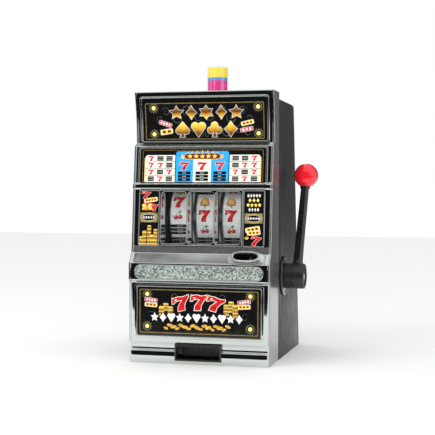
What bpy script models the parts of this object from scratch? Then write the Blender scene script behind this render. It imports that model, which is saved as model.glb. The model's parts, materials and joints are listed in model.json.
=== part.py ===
"""Tabletop slot machine bank: chrome front shell, black rear casing, three reels behind a
window bezel, and a pull handle that drives the reels through a toothed quadrant.

Metres, +Z up. The origin is on the base, midway across the width, at the seam between
front shell and rear casing. The front faces -Y and the handle is on the +X side.
"""

import math

import bmesh
import bpy
from mathutils import Matrix, Vector

MM = 0.001

# Fits
GAP = 0.3 * MM  # between pieces that touch
RUNNING = 0.4 * MM  # radial play of a shaft in its hole

# Housing
BODY_WIDTH = 180 * MM
CASE_HEIGHT = 335 * MM
CASE_DEPTH = 160 * MM  # at the base
CASE_TOP_DEPTH = 110 * MM
CASE_CORNER = 5 * MM
WALL = 2.5 * MM
FRONT_CORNER = 4 * MM
MARQUEE_LIP = 7 * MM  # how far the front stands above the casing
BASE_THICKNESS = 3 * MM

# Front shell, how far each band stands in front of the seam
PLINTH_FRONT = 60 * MM
GROOVE_FRONT = 57 * MM
BELLY_FRONT = 58 * MM
LEDGE_FRONT = 61.5 * MM
DECK_BACK = 52 * MM
REEL_FRONT_LOW = 50.5 * MM
REEL_FRONT_HIGH = 44.5 * MM
BAR_FRONT = 46 * MM
TABLE_FRONT_LOW = 43.5 * MM
TABLE_FRONT_HIGH = 38.5 * MM
MARQUEE_FRONT_LOW = 30 * MM
MARQUEE_FRONT_HIGH = 39 * MM

# Front shell, heights of the bands
PLINTH_TOP = 15 * MM
BELLY_BOTTOM = 26 * MM
BELLY_TOP = 101 * MM
LEDGE_BOTTOM = 104 * MM
LEDGE_TOP = 125 * MM
DECK_TOP = 138 * MM
REEL_BAND_BOTTOM = 147 * MM
REEL_BAND_TOP = 218 * MM
BAR_TOP = 225 * MM
TABLE_TOP = 273 * MM
MARQUEE_BOTTOM = 276.5 * MM

# Printed panels
PANEL = 0.8 * MM
PANEL_MARGIN = 11 * MM  # housing edge to panel edge

# Reels and their frame
REEL_RADIUS = 46.5 * MM
REEL_WIDTH = 30 * MM
REEL_PITCH = 34.85 * MM
REEL_RIM = 2.5 * MM
AXLE_RADIUS = 3 * MM
AXLE_Y = 27.5 * MM
AXLE_Z = 182 * MM
INDEX_RADIUS = 40 * MM
INDEX_THICKNESS = 2 * MM
NOTCHES = 16
NOTCH_DEPTH = 3 * MM
NOTCH_WIDTH = 6.6 * MM
BRACKET_THICKNESS = 2 * MM
BRACKET_CLEARANCE = 5.5 * MM
PAWL_ANGLE = math.radians(-10)
PAWL_REACH = 35 * MM
PAWL_SHAFT_RADIUS = 2.5 * MM
PAWL_THICKNESS = 1.6 * MM
PAWL_LIFT = math.radians(6)  # how far a resting pawl stands clear of its notch

# Window bezel
TUNNEL_WIDTH = 33.3 * MM
TUNNEL_HEIGHT = 65 * MM
TUNNEL_CORNER = 4 * MM
TUNNEL_BACK = -23.5 * MM
BEZEL_MARGIN = 2.6 * MM
BEZEL_LIFT = 3.2 * MM
LENS = 1.2 * MM

# Handle and drive
HANDLE_Y = 31.5 * MM
HANDLE_Z = 106 * MM
SHAFT_RADIUS = 4 * MM
FLANGE_RADIUS = 25.5 * MM
FLANGE_THICKNESS = 2.7 * MM
HUB_RADIUS = 16.25 * MM
HUB_LENGTH = 25.7 * MM
ARM_RADIUS = 5.85 * MM
BALL_RADIUS = 15.6 * MM
BALL_OUT = 28 * MM  # ball centre beyond the housing side
BALL_BACK = 11.5 * MM  # ball centre behind the handle shaft
BALL_UP = 130.5 * MM  # ball centre above the handle shaft
QUADRANT_TEETH = 36  # counted round the full circle
PINION_TEETH = 18
GEAR_THICKNESS = 6 * MM
GEAR_OFFSET = 3.5 * MM  # bracket to gear
BACKLASH = 0.5 * MM
BUSH_RADIUS = 7 * MM

# Coin path
CUP_X = 60 * MM
CUP_LENGTH = 42.6 * MM
CUP_WIDTH = 19 * MM
CUP_ABOVE = 5 * MM
CUP_BELOW = 6 * MM
CUP_RIM = 4 * MM
MOUTH_WIDTH = 60 * MM
MOUTH_HEIGHT = 21.4 * MM
MOUTH_BOTTOM = 3.8 * MM
MOUTH_DEPTH = 9 * MM
MOUTH_WALL = 2 * MM
HOPPER_WIDTH = 96 * MM
HOPPER_TOP = 78 * MM
HOPPER_WALL = 1.6 * MM
GATE_WIDTH = 54 * MM
GATE_THICKNESS = 1.6 * MM
GATE_PIN_RADIUS = 1.2 * MM
GATE_PIN_Y = -36 * MM
GATE_PIN_Z = 29 * MM

# Back and base fittings
DOOR_WIDTH = 70 * MM
DOOR_HEIGHT = 58 * MM
DOOR_LOW = 33 * MM
DOOR_BARREL = 2.4 * MM
DOOR_PIN_RADIUS = 1.1 * MM
BUTTON_RADIUS = 6 * MM
BUTTON_HEIGHT = 130 * MM
BUTTON_TRAVEL = 4 * MM
FOOT_RADIUS = 7 * MM
FOOT_THICKNESS = 1.2 * MM
CELL_RADIUS = 7.1 * MM
CELL_LENGTH = 50 * MM
CELL_PITCH = 15.2 * MM
BATTERY_Y = 115 * MM

# Beacon
BEACON_Y = 36 * MM
BEACON_TOP = 46 * MM  # above the casing
BEACON_RADIUS = 14.3 * MM
BEACON_WALL = 1.2 * MM

# Worked out from the sizes above
HALF_WIDTH = BODY_WIDTH / 2
INNER_HALF = HALF_WIDTH - WALL
FRONT_TOP = CASE_HEIGHT + MARQUEE_LIP
BACK_SLOPE = math.atan2(CASE_DEPTH - CASE_TOP_DEPTH, CASE_HEIGHT)
DECK_RUN = LEDGE_FRONT - DECK_BACK
DECK_RISE = DECK_TOP - LEDGE_TOP
DECK_TILT = math.atan2(DECK_RISE, DECK_RUN)
WINDOW_MIDDLE = (REEL_BAND_BOTTOM + REEL_BAND_TOP) / 2
BEZEL_HALF = REEL_PITCH + TUNNEL_WIDTH / 2 + BEZEL_MARGIN
BRACKET_X = REEL_PITCH + REEL_WIDTH / 2 + BRACKET_CLEARANCE
GEAR_X = BRACKET_X + BRACKET_THICKNESS + GEAR_OFFSET
HUB_X = HALF_WIDTH + FLANGE_THICKNESS + 2 * GAP
HUB_END = HUB_X + HUB_LENGTH
CENTRE_DISTANCE = math.hypot(AXLE_Y - HANDLE_Y, AXLE_Z - HANDLE_Z)
MODULE = 2 * CENTRE_DISTANCE / (QUADRANT_TEETH + PINION_TEETH)
CENTRE_ANGLE = math.atan2(AXLE_Z - HANDLE_Z, AXLE_Y - HANDLE_Y)
PAWL_RADIUS = INDEX_RADIUS + 4 * MM
PAWL_Y = AXLE_Y + PAWL_RADIUS * math.cos(PAWL_ANGLE) + PAWL_REACH * math.sin(PAWL_ANGLE)
PAWL_Z = AXLE_Z + PAWL_RADIUS * math.sin(PAWL_ANGLE) - PAWL_REACH * math.cos(PAWL_ANGLE)
INDEX_RIGHT = REEL_WIDTH / 2 - 1 * MM + GAP  # left of a reel's window centre

ALONG = {
    "X": Matrix(((0, 0, 1), (1, 0, 0), (0, 1, 0))).to_4x4(),
    "Y": Matrix(((1, 0, 0), (0, 0, -1), (0, 1, 0))).to_4x4(),
    "Z": Matrix.Identity(4),
}
TURNED_X = Matrix.Rotation(math.pi / 2, 4, "Y")
BACK_PLANE = Matrix.Translation((0, CASE_DEPTH, 0)) @ Matrix.Rotation(BACK_SLOPE, 4, "X")
DECK_PLANE = Matrix.Translation(
    (CUP_X, -(LEDGE_FRONT + DECK_BACK) / 2, (LEDGE_TOP + DECK_TOP) / 2 + 1 * MM)
) @ Matrix.Rotation(math.pi / 2 - math.atan2(DECK_RUN, DECK_RISE), 4, "X")


# Scene and looks


def clear_scene():
    for obj in list(bpy.data.objects):
        bpy.data.objects.remove(obj, do_unlink=True)


def new_collection(name):
    collection = bpy.data.collections.new(name)
    bpy.context.scene.collection.children.link(collection)
    return collection


def new_look(name, colour, roughness, metallic=0.0, alpha=1.0):
    look = bpy.data.materials.new(name)
    look.use_nodes = True
    shader = look.node_tree.nodes["Principled BSDF"]
    shader.inputs["Base Color"].default_value = (*colour, 1)
    shader.inputs["Roughness"].default_value = roughness
    shader.inputs["Metallic"].default_value = metallic
    shader.inputs["Alpha"].default_value = alpha
    look.diffuse_color = (*colour, 1)
    return look


clear_scene()
PARTS = new_collection("slot_machine_bank")
CUTTERS = new_collection("cutters")
CHROME = new_look("chrome", (0.62, 0.64, 0.63), 0.08, 1.0)
BLACK = new_look("black_plastic", (0.02, 0.022, 0.021), 0.45)
RED = new_look("red_gloss", (0.75, 0.01, 0.03), 0.12)
PRINT = new_look("printed_panel", (0.03, 0.03, 0.10), 0.3)
STIPPLE = new_look("stippled_plate", (0.45, 0.48, 0.45), 0.4, 0.8)
REEL_WHITE = new_look("reel_strip", (0.80, 0.80, 0.78), 0.4)
CLEAR = new_look("clear_plastic", (0.95, 0.95, 0.95), 0.05, alpha=0.3)
YELLOW = new_look("beacon_colours", (0.90, 0.75, 0.05), 0.3)
STEEL = new_look("steel", (0.55, 0.55, 0.56), 0.3, 1.0)
INNER = new_look("grey_plastic", (0.35, 0.36, 0.37), 0.5)
RUBBER = new_look("rubber", (0.03, 0.03, 0.03), 0.8)
BOARD = new_look("circuit_board", (0.02, 0.22, 0.08), 0.4)
CELL = new_look("battery_sleeve", (0.10, 0.10, 0.12), 0.35)


# Shapes


def finish(name, mesh, look, place=None, parent=None, cutter=False):
    """Puts the mesh in the model, at its place, riding on its pivot if it has one."""
    mesh.materials.clear()
    mesh.materials.append(look)
    mesh.shade_smooth()
    mesh.set_sharp_from_angle(angle=math.radians(35))
    obj = bpy.data.objects.new(name, mesh)
    (CUTTERS if cutter else PARTS).objects.link(obj)
    obj.matrix_basis = place or Matrix.Identity(4)
    if parent:
        obj.parent = parent
        obj.matrix_parent_inverse = parent.matrix_basis.inverted()
    if cutter:
        obj.hide_render = True
        obj.display_type = "WIRE"
    return obj


def pivot(name, place):
    empty = bpy.data.objects.new(name, None)
    empty.empty_display_size = 10 * MM
    PARTS.objects.link(empty)
    empty.location = place
    return empty


def mesh_from(bm, name):
    mesh = bpy.data.meshes.new(name)
    bm.to_mesh(mesh)
    bm.free()
    return mesh


def box(name, low, high, look, edge=0.0, **options):
    """A block between two corners, its edges rounded by `edge`."""
    low, high = Vector(low), Vector(high)
    size = high - low
    bm = bmesh.new()
    bmesh.ops.create_cube(bm, size=1)
    bmesh.ops.scale(bm, vec=size, verts=bm.verts)
    bmesh.ops.translate(bm, vec=(low + high) / 2, verts=bm.verts)
    if edge:
        bmesh.ops.bevel(
            bm, geom=bm.edges[:], offset=edge, segments=1, affect="EDGES", clamp_overlap=True
        )
    return finish(name, mesh_from(bm, name), look, **options)


def rod(name, radius, start, end, look, segments=16, far_radius=None, **options):
    """A cylinder, or a cone, between two points."""
    start, end = Vector(start), Vector(end)
    along = end - start
    bm = bmesh.new()
    bmesh.ops.create_cone(
        bm,
        cap_ends=True,
        segments=segments,
        radius1=radius,
        radius2=radius if far_radius is None else far_radius,
        depth=along.length,
    )
    turn = Vector((0, 0, 1)).rotation_difference(along).to_matrix().to_4x4()
    bmesh.ops.transform(bm, matrix=Matrix.Translation((start + end) / 2) @ turn, verts=bm.verts)
    return finish(name, mesh_from(bm, name), look, **options)


def prism(name, axis, low, high, outline, look, holes=(), **options):
    """A flat outline with its holes, as thick as from `low` to `high` along an axis."""
    curve = bpy.data.curves.new(name, "CURVE")
    curve.dimensions = "2D"
    curve.fill_mode = "BOTH"
    curve.extrude = (high - low) / 2
    for loop in (outline, *holes):
        spline = curve.splines.new("POLY")
        spline.points.add(len(loop) - 1)
        for point, (u, v) in zip(spline.points, loop):
            point.co = (u, v, 0, 1)
        spline.use_cyclic_u = True
    drawn = bpy.data.objects.new(name, curve)
    PARTS.objects.link(drawn)
    graph = bpy.context.evaluated_depsgraph_get()
    mesh = bpy.data.meshes.new_from_object(drawn.evaluated_get(graph))
    bpy.data.objects.remove(drawn)
    bpy.data.curves.remove(curve)
    mesh.name = name
    shift = (low + high) / 2 * (-1 if axis == "Y" else 1)
    bm = bmesh.new()
    bm.from_mesh(mesh)
    bmesh.ops.remove_doubles(bm, verts=bm.verts, dist=1e-6)
    bmesh.ops.recalc_face_normals(bm, faces=bm.faces)
    bmesh.ops.transform(
        bm, matrix=ALONG[axis] @ Matrix.Translation((0, 0, shift)), verts=bm.verts
    )
    bm.to_mesh(mesh)
    bm.free()
    return finish(name, mesh, look, **options)


def turned(name, profile, look, steps=24, **options):
    """A lathe shape round Z. The profile of (radius, height) runs down its outer side."""
    bm = bmesh.new()
    points = [bm.verts.new((radius, 0, height)) for radius, height in profile]
    ends = points[1:]
    if profile[0][0] > 0:
        ends.append(points[0])
    for first, second in zip(points, ends):
        bm.edges.new((first, second))
    obj = finish(name, mesh_from(bm, name), look, **options)
    screw = obj.modifiers.new("turn", "SCREW")
    screw.steps = screw.render_steps = steps
    screw.use_merge_vertices = True
    screw.merge_threshold = 1e-6
    return obj


def combine(obj, other, operation):
    boolean = obj.modifiers.new(operation.lower(), "BOOLEAN")
    boolean.object = other
    boolean.operation = operation
    boolean.solver = "EXACT"


def cut(obj, *tools):
    for tool in tools:
        combine(obj, tool, "DIFFERENCE")


def join(obj, *others):
    for other in others:
        combine(obj, other, "UNION")


def circle(centre, radius, count=16, start=0.0):
    return [
        (
            centre[0] + radius * math.cos(start + 2 * math.pi * k / count),
            centre[1] + radius * math.sin(start + 2 * math.pi * k / count),
        )
        for k in range(count)
    ]


def rectangle(low, high):
    return [(low[0], low[1]), (high[0], low[1]), (high[0], high[1]), (low[0], high[1])]


def rounded(low, high, radius, steps=3):
    """A rectangle with round corners."""
    corners = (
        (high[0] - radius, high[1] - radius, 0),
        (low[0] + radius, high[1] - radius, 1),
        (low[0] + radius, low[1] + radius, 2),
        (high[0] - radius, low[1] + radius, 3),
    )
    return [
        (
            u + radius * math.cos(math.pi / 2 * (quarter + k / steps)),
            v + radius * math.sin(math.pi / 2 * (quarter + k / steps)),
        )
        for u, v, quarter in corners
        for k in range(steps + 1)
    ]


# Front shell


def marquee_stations(count=6):
    """Height and front of the hollow curve that leans out to the marquee's top lip."""
    rise = FRONT_TOP - 1 * MM - MARQUEE_BOTTOM
    lean = MARQUEE_FRONT_HIGH - MARQUEE_FRONT_LOW
    return [
        (MARQUEE_BOTTOM + rise * k / count, MARQUEE_FRONT_LOW + lean * (k / count) ** 2)
        for k in range(count + 1)
    ]


def front_stations():
    """(height, distance in front of the seam) up the front shell."""
    return [
        (0, PLINTH_FRONT),
        (PLINTH_TOP, PLINTH_FRONT),
        (PLINTH_TOP + 2 * MM, GROOVE_FRONT),
        (BELLY_BOTTOM - 3 * MM, GROOVE_FRONT),
        (BELLY_BOTTOM, BELLY_FRONT),
        (BELLY_TOP, BELLY_FRONT),
        (LEDGE_BOTTOM, LEDGE_FRONT),
        (LEDGE_TOP, LEDGE_FRONT),
        (DECK_TOP, DECK_BACK),
        (REEL_BAND_BOTTOM, REEL_FRONT_LOW),
        (REEL_BAND_TOP, REEL_FRONT_HIGH),
        (REEL_BAND_TOP + 1.5 * MM, BAR_FRONT),
        (BAR_TOP - 0.5 * MM, BAR_FRONT),
        (BAR_TOP + 1 * MM, TABLE_FRONT_LOW),
        (TABLE_TOP, TABLE_FRONT_HIGH),
        *marquee_stations(),
    ]


def front_at(height):
    stations = front_stations()
    for (low, front), (high, next_front) in zip(stations, stations[1:]):
        if low <= height <= high:
            return front + (next_front - front) * (height - low) / (high - low)
    return stations[-1][1]


def plan_section(height, front, half_width, corner, rear, steps=3):
    """A level slice of the front, from the left seam round the corners to the right one."""
    side = half_width - corner
    middle = front - corner
    turn = [math.pi / 2 * k / steps for k in range(steps + 1)]
    right = [(side + corner * math.sin(a), -middle - corner * math.cos(a)) for a in turn]
    left = [(-x, y) for x, y in reversed(right)]
    ends = [(-half_width, rear)], [(half_width, rear)]
    return [(x, y, height) for x, y in ends[0] + left + right + ends[1]]


def front_loft(name, inset, look, **options):
    """The front's solid form, drawn in by `inset` and then run out past its open sides."""
    stations = [(height, front - inset, 2 * inset) for height, front in front_stations()[1:-1]]
    stations.insert(0, (-2 * inset, PLINTH_FRONT - inset, 2 * inset))
    if inset:
        seam_top = front_at(CASE_HEIGHT) - inset
        stations.append((CASE_HEIGHT, seam_top, 2 * inset))
        stations.append((CASE_HEIGHT + GAP, seam_top, -inset))
    else:
        stations.append((*front_stations()[-1], 0))
    stations.append((FRONT_TOP - inset, MARQUEE_FRONT_HIGH - 1 * MM - inset, -inset))
    bm = bmesh.new()
    loops = []
    for height, front, rear in stations:
        slice_points = plan_section(height, front, HALF_WIDTH - inset, FRONT_CORNER - inset, rear)
        points = [bm.verts.new(point) for point in slice_points]
        loops.append([bm.edges.new(pair) for pair in zip(points, points[1:] + points[:1])])
    for lower, upper in zip(loops, loops[1:]):
        bmesh.ops.bridge_loops(bm, edges=lower + upper)
    bmesh.ops.holes_fill(bm, edges=loops[0] + loops[-1], sides=0)
    bmesh.ops.recalc_face_normals(bm, faces=bm.faces)
    return finish(name, mesh_from(bm, name), look, **options)


def oval(name, length, width, low, high, look, segments=24, **options):
    """An upright oval block round Z."""
    bm = bmesh.new()
    bmesh.ops.create_cone(
        bm, cap_ends=True, segments=segments, radius1=0.5, radius2=0.5, depth=high - low
    )
    bmesh.ops.scale(bm, vec=(length, width, 1), verts=bm.verts)
    bmesh.ops.translate(bm, vec=(0, 0, (low + high) / 2), verts=bm.verts)
    return finish(name, mesh_from(bm, name), look, **options)


def front_fascia():
    """Plated front shell, open at the seam and below."""
    shell = front_loft("front_fascia", 0, CHROME)
    cut(shell, front_loft("cut_inside", WALL, CHROME, cutter=True))
    reach = LEDGE_FRONT + 10 * MM
    tunnels = BEZEL_HALF - 1 * MM
    half_mouth = MOUTH_WIDTH / 2 + GAP
    cut(
        shell,
        box(
            "cut_window",
            (-tunnels, -reach, WINDOW_MIDDLE - TUNNEL_HEIGHT / 2 - 1.5 * MM),
            (tunnels, -10 * MM, WINDOW_MIDDLE + TUNNEL_HEIGHT / 2 + 1.5 * MM),
            BLACK,
            cutter=True,
        ),
        box(
            "cut_mouth",
            (-half_mouth, -reach, MOUTH_BOTTOM - GAP),
            (half_mouth, -GROOVE_FRONT + 2 * WALL, MOUTH_BOTTOM + MOUTH_HEIGHT + GAP),
            BLACK,
            cutter=True,
        ),
        oval(
            "cut_cup",
            CUP_LENGTH + 2 * GAP,
            CUP_WIDTH + 2 * GAP,
            -CUP_BELOW - 10 * MM,
            CUP_ABOVE + 10 * MM,
            BLACK,
            place=DECK_PLANE,
            cutter=True,
        ),
    )


def skin(name, x_low, x_high, z_low, z_high, look, thickness=PANEL, lift=GAP):
    """A sheet that follows the front shell's face at a small gap."""
    heights = [z_low]
    heights += [height for height, _ in front_stations() if z_low < height < z_high]
    heights.append(z_high)
    inside = [(-(front_at(height) + lift), height) for height in heights]
    outside = [(y - thickness, z) for y, z in reversed(inside)]
    return prism(name, "X", x_low, x_high, inside + outside, look)


def printed_panels():
    side = HALF_WIDTH - PANEL_MARGIN
    skin("marquee_panel", -side, side, MARQUEE_BOTTOM + 3.5 * MM, FRONT_TOP - 13 * MM, PRINT)
    skin("paytable_panel", -side, side, BAR_TOP + 1.5 * MM, TABLE_TOP - 4.5 * MM, PRINT)
    skin("belly_panel", -side, side, BELLY_BOTTOM + 9 * MM, BELLY_TOP - 6 * MM, PRINT)
    inner = BEZEL_HALF + 1 * MM
    low, high = REEL_BAND_BOTTOM + 0.5 * MM, REEL_BAND_TOP - 2 * MM
    skin("left_side_panel", -side - 1.5 * MM, -inner, low, high, PRINT)
    skin("right_side_panel", inner, side + 1.5 * MM, low, high, PRINT)


def ledge_inlay():
    """Stippled strip with round ends along the front of the ledge."""
    front = -(LEDGE_FRONT + GAP)
    side = HALF_WIDTH - 8 * MM
    edge = 2 * MM
    ends = (LEDGE_TOP - LEDGE_BOTTOM - 2 * edge) / 2
    outline = rounded((-side, LEDGE_BOTTOM + edge), (side, LEDGE_TOP - edge), ends, 6)
    prism("ledge_inlay", "Y", front - 1.0 * MM, front, outline, STIPPLE)


# Window bezel and reels


def tunnel_outline(middle):
    low = (middle - TUNNEL_WIDTH / 2, WINDOW_MIDDLE - TUNNEL_HEIGHT / 2)
    high = (middle + TUNNEL_WIDTH / 2, WINDOW_MIDDLE + TUNNEL_HEIGHT / 2)
    return rounded(low, high, TUNNEL_CORNER, 2)


def reel_bezel():
    """Plated frame with three tunnels that run back to the reels."""
    low, high = REEL_BAND_BOTTOM + 0.4 * MM, REEL_BAND_TOP - 0.4 * MM
    rim_back = [(-(front_at(z) + GAP), z) for z in (low, high)]
    rim_front = [(y - BEZEL_LIFT, z) for y, z in reversed(rim_back)]
    body_low = WINDOW_MIDDLE - TUNNEL_HEIGHT / 2 - 1.2 * MM
    body_high = WINDOW_MIDDLE + TUNNEL_HEIGHT / 2 + 1.2 * MM
    body_side = BEZEL_HALF - 1.3 * MM
    rim = prism(
        "rim_of_bezel", "X", -BEZEL_HALF, BEZEL_HALF, rim_back + rim_front, CHROME, cutter=True
    )
    bezel = box(
        "reel_bezel",
        (-body_side, -REEL_FRONT_HIGH - 1 * MM, body_low),
        (body_side, TUNNEL_BACK, body_high),
        CHROME,
    )
    join(bezel, rim)
    for number in (-1, 0, 1):
        cut(
            bezel,
            prism(
                f"cut_tunnel_{number + 2}",
                "Y",
                -REEL_FRONT_LOW - 20 * MM,
                TUNNEL_BACK + 5 * MM,
                tunnel_outline(number * REEL_PITCH),
                CHROME,
                cutter=True,
            ),
        )
    back = TUNNEL_BACK + GAP
    box("reel_lens", (-body_side, back, body_low), (body_side, back + LENS, body_high), CLEAR)


def on_axle(x):
    return Matrix.Translation((x, AXLE_Y, AXLE_Z)) @ TURNED_X


def reel(number):
    """One drum with its notched index wheel on the left."""
    middle = (number - 2) * REEL_PITCH
    bore = AXLE_RADIUS + RUNNING
    hub = bore + 4 * MM
    web = 3 * MM
    inner = REEL_RADIUS - REEL_RIM
    right = REEL_WIDTH / 2 + 1 * MM
    left = right - REEL_WIDTH
    axis = pivot(f"reel_{number}_axis", (middle, AXLE_Y, AXLE_Z))
    profile = [
        (bore, right),
        (hub, right),
        (hub, left + web),
        (inner, left + web),
        (inner, right),
        (REEL_RADIUS, right),
        (REEL_RADIUS, left),
        (bore, left),
    ]
    turned(f"reel_{number}", profile, REEL_WHITE, 32, place=on_axle(middle), parent=axis)
    low = middle - INDEX_RIGHT - INDEX_THICKNESS
    prism(
        f"index_wheel_{number}",
        "X",
        low,
        low + INDEX_THICKNESS,
        index_outline(),
        INNER,
        holes=[circle((AXLE_Y, AXLE_Z), bore, 12)],
        parent=axis,
    )
    stop_pawl(number, low)


def index_outline():
    """A disc with evenly spaced notches, one of them where the pawl's nose drops in."""
    floor = INDEX_RADIUS - NOTCH_DEPTH
    pitch = 2 * math.pi / NOTCHES
    mouth = NOTCH_WIDTH / 2 / INDEX_RADIUS
    shape = (
        (-mouth, INDEX_RADIUS),
        (-mouth * 0.8, floor),
        (mouth * 0.8, floor),
        (mouth, INDEX_RADIUS),
        (pitch / 2, INDEX_RADIUS),
    )
    points = []
    for k in range(NOTCHES):
        for offset, radius in shape:
            angle = PAWL_ANGLE + k * pitch + offset
            points.append((AXLE_Y + radius * math.cos(angle), AXLE_Z + radius * math.sin(angle)))
    return points


def pawl_point(radial, along):
    """A point of the lifted pawl, by its place beside the wheel when the nose is in a notch.

    radial is the distance from the reel axle, and along the height past the notch.
    """
    outward, up = radial - PAWL_RADIUS, along + PAWL_REACH
    angle = PAWL_ANGLE - PAWL_LIFT
    cosine, sine = math.cos(angle), math.sin(angle)
    return (
        PAWL_Y + outward * cosine - up * sine,
        PAWL_Z + outward * sine + up * cosine,
    )


def stop_pawl(number, index_low):
    """Sprung finger, held clear of its wheel, whose nose drops into a notch and stops the reel."""
    axis = pivot(f"stop_pawl_{number}_axis", (index_low, PAWL_Y, PAWL_Z))
    clear = INDEX_RADIUS + 1.2 * MM
    nose = INDEX_RADIUS - NOTCH_DEPTH + 0.6 * MM
    outer = PAWL_RADIUS + 3 * MM
    foot = -PAWL_REACH
    outline = [
        pawl_point(clear, foot),
        pawl_point(clear, -1.4 * MM),
        pawl_point(nose, -1.0 * MM),
        pawl_point(nose, 1.0 * MM),
        pawl_point(clear, 1.4 * MM),
        pawl_point(outer, 4 * MM),
        pawl_point(outer, foot),
        pawl_point(outer - 2 * MM, foot - 3 * MM),
        pawl_point(clear + 2 * MM, foot - 3 * MM),
    ]
    low = index_low + (INDEX_THICKNESS - PAWL_THICKNESS) / 2
    prism(
        f"stop_pawl_{number}",
        "X",
        low,
        low + PAWL_THICKNESS,
        outline,
        STEEL,
        holes=[circle((PAWL_Y, PAWL_Z), PAWL_SHAFT_RADIUS + RUNNING, 12)],
        parent=axis,
    )


def bracket_outline():
    front, rear = -15 * MM, PAWL_Y + 14 * MM
    foot = BASE_THICKNESS + GAP
    return [
        (front, foot),
        (rear, foot),
        (rear, PAWL_Z + 8 * MM),
        (AXLE_Y + 18 * MM, AXLE_Z + 13 * MM),
        (AXLE_Y - 18 * MM, AXLE_Z + 13 * MM),
        (front, AXLE_Z - 12 * MM),
    ]


def reel_frame():
    """Two side plates, with the axle and the pawl shaft across them."""
    axle_hole = circle((AXLE_Y, AXLE_Z), AXLE_RADIUS + RUNNING)
    pawl_hole = circle((PAWL_Y, PAWL_Z), PAWL_SHAFT_RADIUS + GAP, 12)
    handle_hole = circle((HANDLE_Y, HANDLE_Z), SHAFT_RADIUS + RUNNING)
    far = BRACKET_X + BRACKET_THICKNESS
    prism(
        "left_bracket", "X", -far, -BRACKET_X, bracket_outline(), STEEL,
        holes=[axle_hole, pawl_hole],
    )
    prism(
        "right_bracket", "X", BRACKET_X, far, bracket_outline(), STEEL,
        holes=[axle_hole, pawl_hole, handle_hole],
    )
    end = far + 1.5 * MM
    rod("pawl_shaft", PAWL_SHAFT_RADIUS, (-end, PAWL_Y, PAWL_Z), (end, PAWL_Y, PAWL_Z), STEEL, 12)


# Drive


def tooth_points(centre, teeth, angle, radii):
    """One tooth's two flanks, from the root up to the tip and down again."""
    pitch_radius = MODULE * teeth / 2
    pressure = math.radians(20)
    base = pitch_radius * math.cos(pressure)
    half = math.pi / (2 * teeth) - BACKLASH / (2 * pitch_radius)

    def half_angle(radius):
        slant = math.acos(min(1.0, base / radius))
        return half + math.tan(pressure) - pressure - (math.tan(slant) - slant)

    flanks = [(radius, -half_angle(radius)) for radius in radii]
    flanks += [(radius, half_angle(radius)) for radius in reversed(radii)]
    return [
        (centre[0] + radius * math.cos(angle + turn), centre[1] + radius * math.sin(angle + turn))
        for radius, turn in flanks
    ]


def gear_radii(teeth):
    pitch_radius = MODULE * teeth / 2
    return (pitch_radius - 1.15 * MODULE, pitch_radius, pitch_radius + 0.85 * MODULE)


def drive_gear(axis):
    """Toothed quadrant on the handle shaft, long enough for the handle's whole pull."""
    centre = (HANDLE_Y, HANDLE_Z)
    outline = []
    step = 2 * math.pi / QUADRANT_TEETH
    for k in range(-7, 2):
        angle = CENTRE_ANGLE + k * step
        outline += tooth_points(centre, QUADRANT_TEETH, angle, gear_radii(QUADRANT_TEETH))
    hub = SHAFT_RADIUS + 8 * MM
    first = CENTRE_ANGLE + 1.5 * step + math.radians(20)
    sweep = 2 * math.pi - math.radians(40) - 9 * step
    outline += [
        (centre[0] + hub * math.cos(first + sweep * k / 7), centre[1] + hub * math.sin(first + sweep * k / 7))
        for k in range(8)
    ]
    prism(
        "drive_gear",
        "X",
        GEAR_X,
        GEAR_X + GEAR_THICKNESS,
        outline,
        INNER,
        holes=[circle(centre, SHAFT_RADIUS + GAP)],
        parent=axis,
    )


def reel_drive():
    """The reel axle and the pinion that turns it."""
    axis = pivot("reel_drive_axis", (0, AXLE_Y, AXLE_Z))
    centre = (AXLE_Y, AXLE_Z)
    outline = []
    step = 2 * math.pi / PINION_TEETH
    for k in range(PINION_TEETH):
        angle = CENTRE_ANGLE + math.pi + (k + 0.5) * step
        outline += tooth_points(centre, PINION_TEETH, angle, gear_radii(PINION_TEETH))
    prism(
        "reel_pinion",
        "X",
        GEAR_X,
        GEAR_X + GEAR_THICKNESS,
        outline,
        INNER,
        holes=[circle(centre, AXLE_RADIUS + GAP, 12)],
        parent=axis,
    )
    left = -(BRACKET_X + BRACKET_THICKNESS + 1.5 * MM)
    right = GEAR_X + GEAR_THICKNESS + 1.5 * MM
    rod("reel_axle", AXLE_RADIUS, (left, AXLE_Y, AXLE_Z), (right, AXLE_Y, AXLE_Z), STEEL, parent=axis)


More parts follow.
